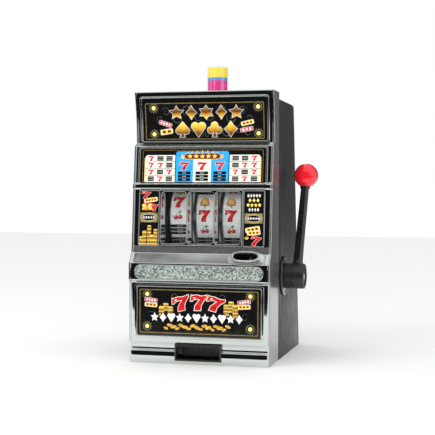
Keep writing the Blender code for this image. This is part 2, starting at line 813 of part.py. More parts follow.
def handle():
    """Shaft, hub, arm and ball, all turning with the toothed quadrant."""
    axis = pivot("handle_axis", (HALF_WIDTH, HANDLE_Y, HANDLE_Z))
    drive_gear(axis)
    shaft_end = HUB_END - 8 * MM
    rod(
        "handle_shaft",
        SHAFT_RADIUS,
        (BRACKET_X - 6 * MM, HANDLE_Y, HANDLE_Z),
        (shaft_end, HANDLE_Y, HANDLE_Z),
        STEEL,
        parent=axis,
    )
    root = Vector((HUB_X + 14 * MM, HANDLE_Y, HANDLE_Z))
    ball = Vector((HALF_WIDTH + BALL_OUT, HANDLE_Y + BALL_BACK, HANDLE_Z + BALL_UP))
    along = (ball - root).normalized()
    arm_start = root + along * (HUB_RADIUS - 5 * MM)
    arm_end = ball - along * (BALL_RADIUS - 6 * MM)
    rod("handle_arm", ARM_RADIUS, arm_start, arm_end, BLACK, parent=axis)
    socket = rod(
        "cut_arm_socket",
        ARM_RADIUS + GAP,
        arm_start - along * GAP,
        arm_end + along * GAP,
        BLACK,
        cutter=True,
    )
    bore = SHAFT_RADIUS + GAP
    length = HUB_LENGTH
    screw_head = 4.5 * MM
    hub = turned(
        "handle_hub",
        [
            (bore, length - 7.5 * MM),
            (1.8 * MM, length - 7.5 * MM),
            (1.8 * MM, length - 3 * MM),
            (screw_head + GAP, length - 3 * MM),
            (screw_head + GAP, length - 0.5 * MM),
            (9.5 * MM, length - 0.5 * MM),
            (10.5 * MM, length - 2 * MM),
            (12.0 * MM, length - 2 * MM),
            (13.0 * MM, length - 0.5 * MM),
            (HUB_RADIUS - 1 * MM, length),
            (HUB_RADIUS, length - 1 * MM),
            (HUB_RADIUS, 0),
            (bore, 0),
        ],
        BLACK,
        place=Matrix.Translation((HUB_X, HANDLE_Y, HANDLE_Z)) @ TURNED_X,
        parent=axis,
    )
    cut(hub, socket)
    turned(
        "hub_screw",
        [
            (0, length - 0.4 * MM),
            (screw_head * 0.7, length - 0.4 * MM),
            (screw_head, length - 1.4 * MM),
            (screw_head, length - 2.7 * MM),
            (1.5 * MM, length - 2.7 * MM),
            (1.5 * MM, length - 7.4 * MM),
            (0, length - 7.4 * MM),
        ],
        STEEL,
        12,
        place=Matrix.Translation((HUB_X, HANDLE_Y, HANDLE_Z)) @ TURNED_X,
        parent=axis,
    )
    bm = bmesh.new()
    bmesh.ops.create_uvsphere(bm, u_segments=24, v_segments=12, radius=BALL_RADIUS)
    knob = finish(
        "ball_knob", mesh_from(bm, "ball_knob"), RED, place=Matrix.Translation(ball), parent=axis
    )
    cut(knob, socket)


def handle_seat():
    """Flange and bush that carry the shaft through the casing side, and the return spring."""
    middle = (HANDLE_Y, HANDLE_Z)
    side = HALF_WIDTH + GAP
    prism(
        "handle_flange",
        "X",
        side,
        side + FLANGE_THICKNESS,
        circle(middle, FLANGE_RADIUS, 32),
        BLACK,
        holes=[circle(middle, BUSH_RADIUS + GAP)],
    )
    prism(
        "shaft_bush",
        "X",
        INNER_HALF - 3 * MM,
        side + FLANGE_THICKNESS - 0.2 * MM,
        circle(middle, BUSH_RADIUS),
        INNER,
        holes=[circle(middle, SHAFT_RADIUS + RUNNING)],
    )
    return_spring()


def return_spring(turns=7, points_per_turn=8):
    """Extension spring from the base up to the quadrant's rear edge."""
    radius, wire = 3.6 * MM, 0.6 * MM
    x = GEAR_X + GEAR_THICKNESS + radius + wire + 1.5 * MM
    y = HANDLE_Y + 38 * MM
    low, high = 24 * MM, HANDLE_Z - 6 * MM
    curve = bpy.data.curves.new("return_spring", "CURVE")
    curve.dimensions = "3D"
    curve.bevel_depth = wire
    curve.bevel_resolution = 0
    curve.use_fill_caps = True
    spline = curve.splines.new("POLY")
    count = turns * points_per_turn
    spline.points.add(count + 2)
    coil = [(x, y, low - 12 * MM)]
    for k in range(count + 1):
        angle = 2 * math.pi * k / points_per_turn
        rise = low + (high - low) * k / count
        coil.append((x + radius * math.cos(angle), y + radius * math.sin(angle), rise))
    coil.append((x, y, high + 8 * MM))
    for point, place in zip(spline.points, coil):
        point.co = (*place, 1)
    curve.materials.append(STEEL)
    PARTS.objects.link(bpy.data.objects.new("return_spring", curve))


# Coin path


def coin_cup():
    """Plated oval boss on the sloping deck, with the hole that takes the coin."""
    cup = oval(
        "coin_cup", CUP_LENGTH, CUP_WIDTH, -CUP_BELOW, CUP_ABOVE, CHROME, place=DECK_PLANE
    )
    edge = cup.modifiers.new("edge", "BEVEL")
    edge.width = 1.2 * MM
    edge.segments = 1
    edge.limit_method = "ANGLE"
    edge.angle_limit = math.radians(60)
    hole = oval(
        "cut_cup_hole",
        CUP_LENGTH - 3 * CUP_RIM,
        CUP_WIDTH - 2 * CUP_RIM,
        -CUP_BELOW - 5 * MM,
        CUP_ABOVE + 5 * MM,
        BLACK,
        20,
        place=DECK_PLANE,
        cutter=True,
    )
    cut(cup, hole)


def coin_chute():
    """Slanted square tube from under the cup to the hopper."""
    top, bottom = LEDGE_TOP - 3.5 * MM, HOPPER_TOP + 1 * MM
    width, wall = 32 * MM, 1.2 * MM
    shift = 34 * MM
    right = CUP_X + width / 2
    front, rear = -BELLY_FRONT + WALL + 1.5 * MM, -44 * MM

    def slant(inset, past):
        lean = shift / (top - bottom) * past
        return [
            (right - width + inset + lean, top + past),
            (right - width - shift + inset - lean, bottom - past),
            (right - shift - inset - lean, bottom - past),
            (right - inset + lean, top + past),
        ]

    chute = prism("coin_chute", "Y", front, rear, slant(0, 0), INNER)
    cut(
        chute,
        prism(
            "cut_chute", "Y", front + wall, rear - wall, slant(wall, 5 * MM), INNER, cutter=True
        ),
    )


def coin_hopper():
    """Open-topped bin whose floor runs down to the payout gate."""
    front_low, front_high = GATE_PIN_Y + 3 * MM, -BELLY_FRONT + WALL + 0.9 * MM
    rear = AXLE_Y + 50 * MM
    half = HOPPER_WIDTH / 2
    floor = BASE_THICKNESS + 5 * MM

    def side(inset, past):
        return [
            (front_low + inset, floor + inset),
            (rear - inset, floor + 22 * MM + inset),
            (rear - inset, HOPPER_TOP + past),
            (front_high + inset, HOPPER_TOP + past),
            (front_high + inset, 60 * MM),
            (front_low + inset, 40 * MM),
        ]

    hopper = prism("coin_hopper", "X", -half, half, side(0, 0), INNER)
    wall = HOPPER_WALL
    ear_x = GATE_WIDTH / 2 + 1 * MM
    for number, (low, high) in enumerate(((-ear_x - 3 * MM, -ear_x), (ear_x, ear_x + 3 * MM))):
        ear = prism(
            f"ear_{number}",
            "X",
            low,
            high,
            rectangle(
                (GATE_PIN_Y - 3 * MM, GATE_PIN_Z - 3 * MM),
                (front_low + wall / 2, GATE_PIN_Z + 3 * MM),
            ),
            INNER,
            holes=[circle((GATE_PIN_Y, GATE_PIN_Z), GATE_PIN_RADIUS + GAP, 10)],
            cutter=True,
        )
        join(hopper, ear)
    cut(
        hopper,
        prism(
            "cut_hopper", "X", wall - half, half - wall, side(wall, 5 * MM), INNER, cutter=True
        ),
        box(
            "cut_exit",
            (-ear_x + 1 * MM, GATE_PIN_Y - 10 * MM, floor + wall),
            (ear_x - 1 * MM, front_low + 3 * wall, GATE_PIN_Z - 1 * MM),
            INNER,
            cutter=True,
        ),
    )


def payout():
    """Black mouth in the plinth, and the gate that hangs behind it."""
    half = MOUTH_WIDTH / 2
    top = MOUTH_BOTTOM + MOUTH_HEIGHT
    front = -PLINTH_FRONT - 1.5 * MM
    outer = rectangle((-half, MOUTH_BOTTOM), (half, top))
    inner = rectangle(
        (-half + MOUTH_WALL, MOUTH_BOTTOM + MOUTH_WALL), (half - MOUTH_WALL, top - MOUTH_WALL)
    )
    prism("payout_mouth", "Y", front, front + MOUTH_DEPTH, outer, BLACK, holes=[inner])
    pin = pivot("payout_gate_axis", (0, GATE_PIN_Y, GATE_PIN_Z))
    ear_x = GATE_WIDTH / 2 + 1 * MM
    end = ear_x + 3.5 * MM
    rod(
        "gate_pin", GATE_PIN_RADIUS, (-end, GATE_PIN_Y, GATE_PIN_Z), (end, GATE_PIN_Y, GATE_PIN_Z),
        STEEL, 10,
    )
    barrel = GATE_PIN_RADIUS + RUNNING + 0.9 * MM
    plate = GATE_THICKNESS / 2
    low = BASE_THICKNESS + 4 * MM
    outline = [
        (GATE_PIN_Y - plate, low),
        (GATE_PIN_Y + plate, low),
        (GATE_PIN_Y + plate, GATE_PIN_Z - barrel * 0.9),
        *[
            (
                GATE_PIN_Y + barrel * math.cos(math.radians(angle)),
                GATE_PIN_Z + barrel * math.sin(math.radians(angle)),
            )
            for angle in range(-45, 226, 45)
        ],
        (GATE_PIN_Y - plate, GATE_PIN_Z - barrel * 0.9),
    ]
    hole = circle((GATE_PIN_Y, GATE_PIN_Z), GATE_PIN_RADIUS + RUNNING, 10)
    half_gate = GATE_WIDTH / 2
    prism("payout_gate", "X", -half_gate, half_gate, outline, BLACK, holes=[hole], parent=pin)


# Rear casing, base and beacon


def casing_form(name, inset, look, **options):
    """The casing's solid form, drawn in by `inset` and then run out past its open sides."""
    past = 2 * inset
    level = CASE_HEIGHT - inset
    lean = math.tan(BACK_SLOPE)
    low_depth = CASE_DEPTH - inset / math.cos(BACK_SLOPE) + past * lean
    high_depth = low_depth - (level + past) * lean
    bm = bmesh.new()
    bmesh.ops.create_cube(bm, size=1)
    for vert in bm.verts:
        high, rear = vert.co.z > 0, vert.co.y > 0
        depth = high_depth if high else low_depth
        vert.co.x *= BODY_WIDTH - 2 * inset
        vert.co.y = depth if rear else GAP - past
        vert.co.z = level if high else -past
    open_sides = {face for face in bm.faces if face.normal.y < -0.9 or face.normal.z < -0.9}
    folds = [edge for edge in bm.edges if not open_sides & set(edge.link_faces)]
    bmesh.ops.bevel(bm, geom=folds, offset=CASE_CORNER - inset, segments=3, profile=0.5, affect="EDGES")
    return finish(name, mesh_from(bm, name), look, **options)


def rear_casing():
    """Black shell, open at the front and below, with a leaning back."""
    casing = casing_form("rear_casing", 0, BLACK)
    cut(casing, casing_form("cut_casing", WALL, BLACK, cutter=True))
    through = 4 * WALL
    barrel_low = DOOR_LOW - DOOR_BARREL - GAP
    half_door = DOOR_WIDTH / 2 + GAP
    cut(
        casing,
        rod(
            "cut_shaft",
            BUSH_RADIUS + GAP,
            (HALF_WIDTH - through, HANDLE_Y, HANDLE_Z),
            (HALF_WIDTH + through, HANDLE_Y, HANDLE_Z),
            BLACK,
            cutter=True,
        ),
        rod(
            "cut_beacon",
            BEACON_RADIUS * 0.6 + GAP,
            (0, BEACON_Y, CASE_HEIGHT - through),
            (0, BEACON_Y, CASE_HEIGHT + through),
            BLACK,
            20,
            cutter=True,
        ),
        box(
            "cut_door",
            (-half_door, -through, barrel_low),
            (half_door, through, DOOR_LOW + DOOR_HEIGHT + GAP),
            BLACK,
            place=BACK_PLANE,
            cutter=True,
        ),
        box(
            "cut_door_pin",
            (-half_door - 3 * MM, -through, barrel_low),
            (half_door + 3 * MM, through, DOOR_LOW + DOOR_BARREL),
            BLACK,
            place=BACK_PLANE,
            cutter=True,
        ),
        rod(
            "cut_button",
            BUTTON_RADIUS + GAP,
            (0, -through, BUTTON_HEIGHT),
            (0, through, BUTTON_HEIGHT),
            BLACK,
            place=BACK_PLANE,
            cutter=True,
        ),
    )
    for number in range(4):
        height = 36 * MM + number * 9 * MM
        cut(
            casing,
            box(
                f"cut_grille_{number}",
                (-HALF_WIDTH - through, 85 * MM, height),
                (-HALF_WIDTH + through, 119 * MM, height + 2.4 * MM),
                BLACK,
                cutter=True,
            ),
        )


def back_fittings():
    """Coin door on its pin, and the jackpot reset button, both in the leaning back."""
    half = DOOR_WIDTH / 2
    plate_back = -WALL + GAP
    barrel_y = -WALL / 2
    foot = BACK_PLANE @ Vector((0, barrel_y, DOOR_LOW))
    axis = pivot("rear_door_axis", foot)
    door = box(
        "rear_door",
        (-half, plate_back, DOOR_LOW),
        (half, 0, DOOR_LOW + DOOR_HEIGHT),
        BLACK,
        place=BACK_PLANE,
        parent=axis,
    )
    middle = (barrel_y, DOOR_LOW)
    join(
        door,
        prism(
            "door_barrel",
            "X",
            -half + 1 * MM,
            half - 1 * MM,
            circle(middle, DOOR_BARREL, 12),
            BLACK,
            place=BACK_PLANE,
            cutter=True,
        ),
    )
    reach = half + 2.5 * MM
    cut(
        door,
        rod(
            "cut_barrel",
            DOOR_PIN_RADIUS + GAP,
            (-reach, *middle),
            (reach, *middle),
            BLACK,
            10,
            place=BACK_PLANE,
            cutter=True,
        ),
    )
    rod("door_pin", DOOR_PIN_RADIUS, (-reach, *middle), (reach, *middle), STEEL, 10, place=BACK_PLANE)
    out = Matrix.Translation((0, 0, BUTTON_HEIGHT)) @ Matrix.Rotation(-math.pi / 2, 4, "X")
    flange = -WALL - 0.6 * MM
    turned(
        "reset_button",
        [
            (0, 3 * MM),
            (BUTTON_RADIUS - 0.8 * MM, 3 * MM),
            (BUTTON_RADIUS, 2.2 * MM),
            (BUTTON_RADIUS, flange),
            (BUTTON_RADIUS + 2 * MM, flange),
            (BUTTON_RADIUS + 2 * MM, flange - 2 * MM),
            (0, flange - 2 * MM),
        ],
        RED,
        20,
        place=BACK_PLANE @ out,
    )


def base_plate():
    """Floor of the housing, with pads let in flush and the battery hatch."""
    side = INNER_HALF - GAP
    front = -(PLINTH_FRONT - WALL - 2 * GAP)
    rear = CASE_DEPTH - WALL / math.cos(BACK_SLOPE) - BASE_THICKNESS * math.tan(BACK_SLOPE) - 2 * GAP
    hatch_half = CELL_LENGTH / 2 + 2 * MM
    hatch_front, hatch_rear = BATTERY_Y - 24 * MM, BATTERY_Y + 31 * MM
    pads = [(x, y) for x in (-side + 18 * MM, side - 18 * MM) for y in (front + 18 * MM, rear - 20 * MM)]
    plate = prism(
        "base_plate",
        "Z",
        0,
        BASE_THICKNESS,
        rounded((-side, front), (side, rear), FRONT_CORNER),
        BLACK,
        holes=[rectangle((-hatch_half, hatch_front), (hatch_half, hatch_rear))],
    )
    for number, pad in enumerate(pads):
        cut(
            plate,
            rod(
                f"cut_pad_{number}",
                FOOT_RADIUS + GAP,
                (*pad, -FOOT_THICKNESS),
                (*pad, FOOT_THICKNESS + GAP),
                BLACK,
                cutter=True,
            ),
        )
        rod(f"rubber_foot_{number + 1}", FOOT_RADIUS, (*pad, 0), (*pad, FOOT_THICKNESS), RUBBER)
    battery_set(hatch_half, hatch_front, hatch_rear)


def battery_set(hatch_half, hatch_front, hatch_rear):
    """Hatch with its screw, and the box that holds the cells above it."""
    screw = (0, hatch_rear - 5 * MM)
    prism(
        "battery_cover",
        "Z",
        GAP,
        BASE_THICKNESS - GAP,
        rectangle(
            (-hatch_half + GAP, hatch_front + GAP), (hatch_half - GAP, hatch_rear - GAP)
        ),
        BLACK,
        holes=[circle(screw, 3.4 * MM, 12)],
    )
    low = BASE_THICKNESS + GAP
    wall = 1.2 * MM
    inside = CELL_LENGTH / 2 + 1 * MM
    depth = 1.5 * CELL_PITCH + 0.6 * MM
    height = 2 * CELL_RADIUS + 1.5 * MM
    tray = box(
        "battery_box",
        (-inside - wall, BATTERY_Y - depth - wall, low),
        (inside + wall, BATTERY_Y + depth + wall, low + height + wall),
        BLACK,
    )
    lug = box(
        "battery_box_lug",
        (-5 * MM, BATTERY_Y + depth, low),
        (5 * MM, hatch_rear + 3 * MM, low + 5 * MM),
        BLACK,
        cutter=True,
    )
    join(tray, lug)
    cut(
        tray,
        box(
            "cut_battery_box",
            (-inside, BATTERY_Y - depth, low - 2 * MM),
            (inside, BATTERY_Y + depth, low + height),
            BLACK,
            cutter=True,
        ),
        rod("cut_lug", 1.8 * MM, (*screw, low - 2 * MM), (*screw, low + 8 * MM), BLACK, 10, cutter=True),
    )
    turned(
        "cover_screw",
        [
            (0, low + 6 * MM),
            (1.4 * MM, low + 6 * MM),
            (1.4 * MM, 2.2 * MM),
            (3 * MM, 2.2 * MM),
            (3 * MM, 0.6 * MM),
            (0, 0.6 * MM),
        ],
        STEEL,
        12,
        place=Matrix.Translation((*screw, 0)),
    )
    for number in range(3):
        y = BATTERY_Y + (number - 1) * CELL_PITCH
        z = low + CELL_RADIUS + 0.5 * MM
        rod(
            f"battery_{number + 1}",
            CELL_RADIUS,
            (-CELL_LENGTH / 2, y, z),
            (CELL_LENGTH / 2, y, z),
            CELL,
        )


def electronics():
    """Board on the left wall and the speaker behind its grille."""
    wall = -INNER_HALF + 1.5 * MM
    box("circuit_board", (wall, 15 * MM, 95 * MM), (wall + 1.6 * MM, 85 * MM, 165 * MM), BOARD)
    middle = (102 * MM, 50 * MM)
    turned(
        "speaker",
        [
            (0, 9 * MM),
            (9 * MM, 9 * MM),
            (9 * MM, 4 * MM),
            (19 * MM, 1.5 * MM),
            (20 * MM, 0),
            (17 * MM, 0),
            (7 * MM, 3 * MM),
            (0, 3 * MM),
        ],
        BLACK,
        20,
        place=Matrix.Translation((-INNER_HALF + GAP, *middle)) @ TURNED_X,
    )


def beacon():
    """Clear cap on the casing top, with a banded colour sleeve and a lamp inside."""
    top = BEACON_TOP
    neck = BEACON_RADIUS * 0.6
    deck = GAP
    seat = deck + 2.5 * MM
    place = Matrix.Translation((0, BEACON_Y, CASE_HEIGHT))
    turned(
        "beacon_base",
        [
            (0, seat),
            (BEACON_RADIUS + 1 * MM, seat),
            (BEACON_RADIUS + 1 * MM, deck),
            (neck, deck),
            (neck, -WALL - 4 * MM),
            (0, -WALL - 4 * MM),
        ],
        BLACK,
        20,
        place=place,
    )
    low = seat + GAP
    inner = BEACON_RADIUS - BEACON_WALL
    turned(
        "beacon_lens",
        [
            (0, top),
            (BEACON_RADIUS - 1 * MM, top),
            (BEACON_RADIUS, top - 1 * MM),
            (BEACON_RADIUS, low),
            (inner, low),
            (inner, top - BEACON_WALL),
            (0, top - BEACON_WALL),
        ],
        CLEAR,
        place=place,
    )
    sleeve = inner - 2 * GAP
    turned(
        "beacon_sleeve",
        [
            (sleeve - 0.8 * MM, top - BEACON_WALL - 1 * MM),
            (sleeve, top - BEACON_WALL - 1 * MM),
            (sleeve, low),
            (sleeve - 0.8 * MM, low),
        ],
        YELLOW,
        20,
        place=place,
    )
    bulb = 3 * MM
    turned(
        "beacon_bulb",
        [
            (0, low + 16 * MM),
            (bulb * 0.7, low + 15 * MM),
            (bulb, low + 12.5 * MM),
            (bulb, low),
            (0, low),
        ],
        CLEAR,
        12,
        place=place,
    )


def build():
    front_fascia()
    printed_panels()
    ledge_inlay()
    reel_bezel()
    for number in (1, 2, 3):
        reel(number)
    reel_frame()
    reel_drive()
    handle()
    handle_seat()
    coin_cup()
    coin_chute()
    coin_hopper()
    payout()
    rear_casing()
    back_fittings()
    base_plate()
    electronics()
    beacon()


build()
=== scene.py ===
"""Tabletop slot machine bank: the visual model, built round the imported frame.

The file is laid out as an add-on with one operator for each piece or group of like
pieces. Run as a script, it builds all of them in order. Metres, +Z up.
"""

import json
import math
from contextlib import contextmanager

import bpy
from mathutils import Matrix, Vector
from mathutils.bvhtree import BVHTree


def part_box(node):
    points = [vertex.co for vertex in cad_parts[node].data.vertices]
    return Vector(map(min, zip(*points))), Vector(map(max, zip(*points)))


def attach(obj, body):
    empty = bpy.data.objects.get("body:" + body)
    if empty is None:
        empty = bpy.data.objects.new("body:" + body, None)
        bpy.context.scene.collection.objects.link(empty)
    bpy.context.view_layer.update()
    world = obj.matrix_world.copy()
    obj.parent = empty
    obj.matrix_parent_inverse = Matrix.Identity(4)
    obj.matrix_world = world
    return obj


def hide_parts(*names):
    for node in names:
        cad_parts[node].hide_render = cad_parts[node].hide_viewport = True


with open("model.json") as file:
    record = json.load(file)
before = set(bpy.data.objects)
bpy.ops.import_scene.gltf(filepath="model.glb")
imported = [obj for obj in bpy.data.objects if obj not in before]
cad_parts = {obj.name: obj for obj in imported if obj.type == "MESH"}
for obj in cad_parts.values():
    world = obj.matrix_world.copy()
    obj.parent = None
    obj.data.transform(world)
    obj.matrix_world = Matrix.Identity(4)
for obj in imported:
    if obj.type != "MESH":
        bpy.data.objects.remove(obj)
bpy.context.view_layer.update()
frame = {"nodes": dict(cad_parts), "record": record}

bl_info = {
    "name": "Slot machine bank",
    "version": (1, 0, 0),
    "blender": (4, 5, 0),
    "location": "View3D > Sidebar > Bank",
    "description": "Builds the visual pieces of a tabletop slot machine bank",
    "category": "Object",
}

MM = 0.001

# Read from the frame
JOINTS = {joint["name"]: joint for joint in frame["record"]["behaviour"]["joints"]}
SHELL_LOW, SHELL_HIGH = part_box("front_fascia")
HALF_WIDTH = SHELL_HIGH.x
CASE_LOW, CASE_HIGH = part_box("rear_casing")
BEZEL_LOW, BEZEL_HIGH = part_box("reel_bezel")
MARQUEE_LOW, MARQUEE_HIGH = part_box("marquee_panel")
TABLE_LOW, TABLE_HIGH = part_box("paytable_panel")
BELLY_LOW, BELLY_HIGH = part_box("belly_panel")
SIDE_LOW, SIDE_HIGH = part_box("right_side_panel")
INLAY_LOW, INLAY_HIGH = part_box("ledge_inlay")
MOUTH_LOW, MOUTH_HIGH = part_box("payout_mouth")
CUP_LOW, CUP_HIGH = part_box("coin_cup")
AXLE = Vector(JOINTS["reel_2_spin"]["pos_m"])
HANDLE = Vector(JOINTS["handle_pull"]["pos_m"])
REEL_RADIUS = (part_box("reel_2")[1].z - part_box("reel_2")[0].z) / 2
REEL_MIDDLES = [JOINTS[f"reel_{number}_spin"]["pos_m"][0] for number in (1, 2, 3)]

# Housing details
CORNER = 4 * MM  # radius up the front edges
WALL = 2.5 * MM
BACK_RUN = 50 * MM  # how far the back leans in from foot to top
PANEL_FACE = 1.1 * MM  # printed face in front of the shell
TUNNEL_HALF = 16.65 * MM
TUNNEL_LOW, TUNNEL_HIGH = 150 * MM, 215 * MM
TUNNEL_CORNER = 4 * MM
DECK_LOW, DECK_HIGH = 125 * MM, 138 * MM
STIPPLE_HIGH = 147 * MM
PLINTH_TOP = 26 * MM
INK = 0.03 * MM  # step between layers of ink
SYMBOLS = 16  # round each reel
SYMBOL_SHIFT = 2.4 * MM  # round the drum
SYMBOL_X = -3.2 * MM  # along the drum


# Settings


class BankSettings(bpy.types.PropertyGroup):
    """Sizes and colours that a user would change."""

    crease: bpy.props.FloatProperty(
        name="Crease easing",
        description="How softly the front shell's bands meet",
        default=0.75 * MM,
        unit="LENGTH",
    )
    bead: bpy.props.FloatProperty(
        name="Bead radius",
        description="Radius of the bright beads round the printed panels",
        default=0.9 * MM,
        unit="LENGTH",
    )
    rim: bpy.props.FloatProperty(
        name="Window rim",
        description="Rounding of the window bezel's edges",
        default=0.9 * MM,
        unit="LENGTH",
    )
    chrome_colour: bpy.props.FloatVectorProperty(
        name="Chrome",
        description="Colour of the plated front",
        default=(0.70, 0.725, 0.71),
        subtype="COLOR",
    )
    casing_colour: bpy.props.FloatVectorProperty(
        name="Casing",
        description="Colour of the moulded rear casing",
        default=(0.018, 0.02, 0.019),
        subtype="COLOR",
    )
    ball_colour: bpy.props.FloatVectorProperty(
        name="Ball",
        description="Colour of the handle's ball",
        default=(0.72, 0.006, 0.02),
        subtype="COLOR",
    )
    seven_colour: bpy.props.FloatVectorProperty(
        name="Sevens",
        description="Red ink of the sevens",
        default=(0.72, 0.012, 0.012),
        subtype="COLOR",
    )
    gold_colour: bpy.props.FloatVectorProperty(
        name="Gold ink",
        description="Light end of the gold ink",
        default=(0.95, 0.62, 0.10),
        subtype="COLOR",
    )
    panel_colour: bpy.props.FloatVectorProperty(
        name="Panel ground",
        description="Ground of the printed panels",
        default=(0.006, 0.006, 0.007),
        subtype="COLOR",
    )
    scratches: bpy.props.FloatProperty(
        name="Scratches",
        description="How strongly hairline scratches show in the gloss",
        default=0.35,
        min=0.0,
        max=1.0,
        subtype="FACTOR",
    )


def settings():
    return bpy.context.scene.bank_settings


# Modelling


def only(obj):
    """Leaves this object as the only selected one, and active."""
    bpy.ops.object.select_all(action="DESELECT")
    obj.select_set(True)
    bpy.context.view_layer.objects.active = obj


@contextmanager
def editing(obj, mode="FACE"):
    """Edit mode on one object, left again at the end."""
    only(obj)
    bpy.ops.object.mode_set(mode="EDIT")
    bpy.ops.mesh.select_mode(type=mode)
    yield
    bpy.ops.object.mode_set(mode="OBJECT")


def select_faces(obj, test):
    """Selects the faces whose middle and normal pass the test. Called in object mode."""
    mesh = obj.data
    for vertex in mesh.vertices:
        vertex.select = False
    for edge in mesh.edges:
        edge.select = False
    for face in mesh.polygons:
        face.select = test(face.center, face.normal)


def select_points(obj, test):
    mesh = obj.data
    for face in mesh.polygons:
        face.select = False
    for edge in mesh.edges:
        edge.select = False
    for vertex in mesh.vertices:
        vertex.select = test(vertex.co)


def added(name):
    """Names the object that an add operator has just made."""
    obj = bpy.context.active_object
    obj.name = name
    obj.data.name = name
    return obj


def settle(obj):
    """Puts the object's place into its mesh."""
    only(obj)
    bpy.ops.object.transform_apply(location=True, rotation=True, scale=True)
    return obj


def apply_all(obj):
    only(obj)
    for modifier in list(obj.modifiers):
        bpy.ops.object.modifier_apply(modifier=modifier.name)
    return obj


def bevel(obj, width, segments=2, angle=30.0):
    modifier = obj.modifiers.new("Bevel", "BEVEL")
    modifier.width = width
    modifier.segments = segments
    modifier.limit_method = "ANGLE"
    modifier.angle_limit = math.radians(angle)
    modifier.harden_normals = False
    return apply_all(obj)


def boolean(obj, cutter, operation="DIFFERENCE"):
    modifier = obj.modifiers.new("Boolean", "BOOLEAN")
    modifier.operation = operation
    modifier.object = cutter
    apply_all(obj)
    bpy.data.objects.remove(cutter)
    return obj


def smooth(obj, angle=35.0):
    only(obj)
    bpy.ops.object.shade_smooth_by_angle(angle=math.radians(angle))
    return obj


def face_out(obj):
    with editing(obj):
        bpy.ops.mesh.select_all(action="SELECT")
        bpy.ops.mesh.remove_doubles(threshold=1e-6)
        bpy.ops.mesh.normals_make_consistent(inside=False)
    return obj


def bent(obj, rule):
    """Moves every point of the mesh by a rule."""
    for vertex in obj.data.vertices:
        vertex.co = rule(vertex.co)
    obj.data.update()
    return obj


def joined(name, parts):
    bpy.ops.object.select_all(action="DESELECT")
    for part in parts:
        part.select_set(True)
    bpy.context.view_layer.objects.active = parts[0]
    bpy.ops.object.join()
    return added(name)


def fit(obj, body, slot, look, *nodes):
    """Dresses a finished piece that has no material yet, parents it to the body it rides on, and hides the CAD
    pieces it stands for.
    """
    if len(obj.data.materials) == 0:
        obj.data.materials.append(look)
    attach(obj, body)
    if nodes:
        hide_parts(*nodes)
    return obj


def block(name, low, high, edge=0.0, segments=2):
    """A box with eased edges."""
    middle = [(a + b) / 2 for a, b in zip(low, high)]
    bpy.ops.object.select_all(action="DESELECT")
    bpy.ops.mesh.primitive_cube_add(size=1, location=middle)
    obj = added(name)
    obj.scale = [b - a for a, b in zip(low, high)]
    settle(obj)
    if edge:
        bevel(obj, edge, segments)
    return obj


def turned(name, profile, place=None, steps=64):
    """A closed round piece: a disc extruded and resized along its profile of (radius, height)."""
    first = profile[0]
    bpy.ops.object.select_all(action="DESELECT")
    bpy.ops.mesh.primitive_circle_add(vertices=steps, radius=first[0], fill_type="NGON")
    obj = added(name)
    bent(obj, lambda co: Vector((co.x, co.y, first[1])))
    with editing(obj):
        bpy.ops.mesh.select_all(action="SELECT")
        for (radius, height), (next_radius, next_height) in zip(profile, profile[1:]):
            rise = {"value": (0, 0, next_height - height)}
            bpy.ops.mesh.extrude_region_move(TRANSFORM_OT_translate=rise)
            grow = next_radius / radius
            bpy.ops.transform.resize(value=(grow, grow, 1), center_override=(0, 0, next_height))
        bpy.ops.mesh.select_all(action="DESELECT")
    with editing(obj, "EDGE"):
        bpy.ops.mesh.select_all(action="DESELECT")
        bpy.ops.mesh.select_non_manifold()
        bpy.ops.mesh.edge_face_add()
    face_out(obj)
    if place is not None:
        obj.data.transform(place)
    return obj


def along_x(x, y, z):
    """Places a turned piece's axis along +X through a point."""
    return Matrix.Translation((x, y, z)) @ Matrix.Rotation(math.pi / 2, 4, "Y")


def flat(name, outlines, thickness, edge=0.0, grow=0.0):
    """A plate from closed outlines of (x, z), lying in its own XY plane, with rounded edges."""
    curve = bpy.data.curves.new(name, "CURVE")
    curve.dimensions = "2D"
    curve.fill_mode = "BOTH"
    curve.extrude = thickness / 2 - edge
    curve.bevel_depth = edge
    curve.bevel_resolution = 2
    curve.offset = grow - edge
    for outline in outlines:
        spline = curve.splines.new("POLY")
        spline.points.add(len(outline) - 1)
        for point, (x, z) in zip(spline.points, outline):
            point.co = (x, z, 0, 1)
        spline.use_cyclic_u = True
    return meshed(name, curve)


def meshed(name, curve):
    obj = bpy.data.objects.new(name, curve)
    bpy.context.collection.objects.link(obj)
    only(obj)
    bpy.ops.object.convert(target="MESH")
    obj = added(name)
    with editing(obj):
        bpy.ops.mesh.select_all(action="SELECT")
        bpy.ops.mesh.remove_doubles(threshold=1e-7)
    return obj


def sliced(obj, stops, normal=(0, 1, 0)):
    """Cuts the mesh at these places, so that it can follow a curved face."""
    with editing(obj):
        for stop in stops:
            bpy.ops.mesh.select_all(action="SELECT")
            point = [stop * part for part in normal]
            bpy.ops.mesh.bisect(plane_co=point, plane_no=normal)
    return obj


# The front shell's face


def span(low, high, step):
    """Even places from low to high, both included."""
    count = max(1, math.ceil((high - low) / step))
    return [low + (high - low) * k / count for k in range(count + 1)]


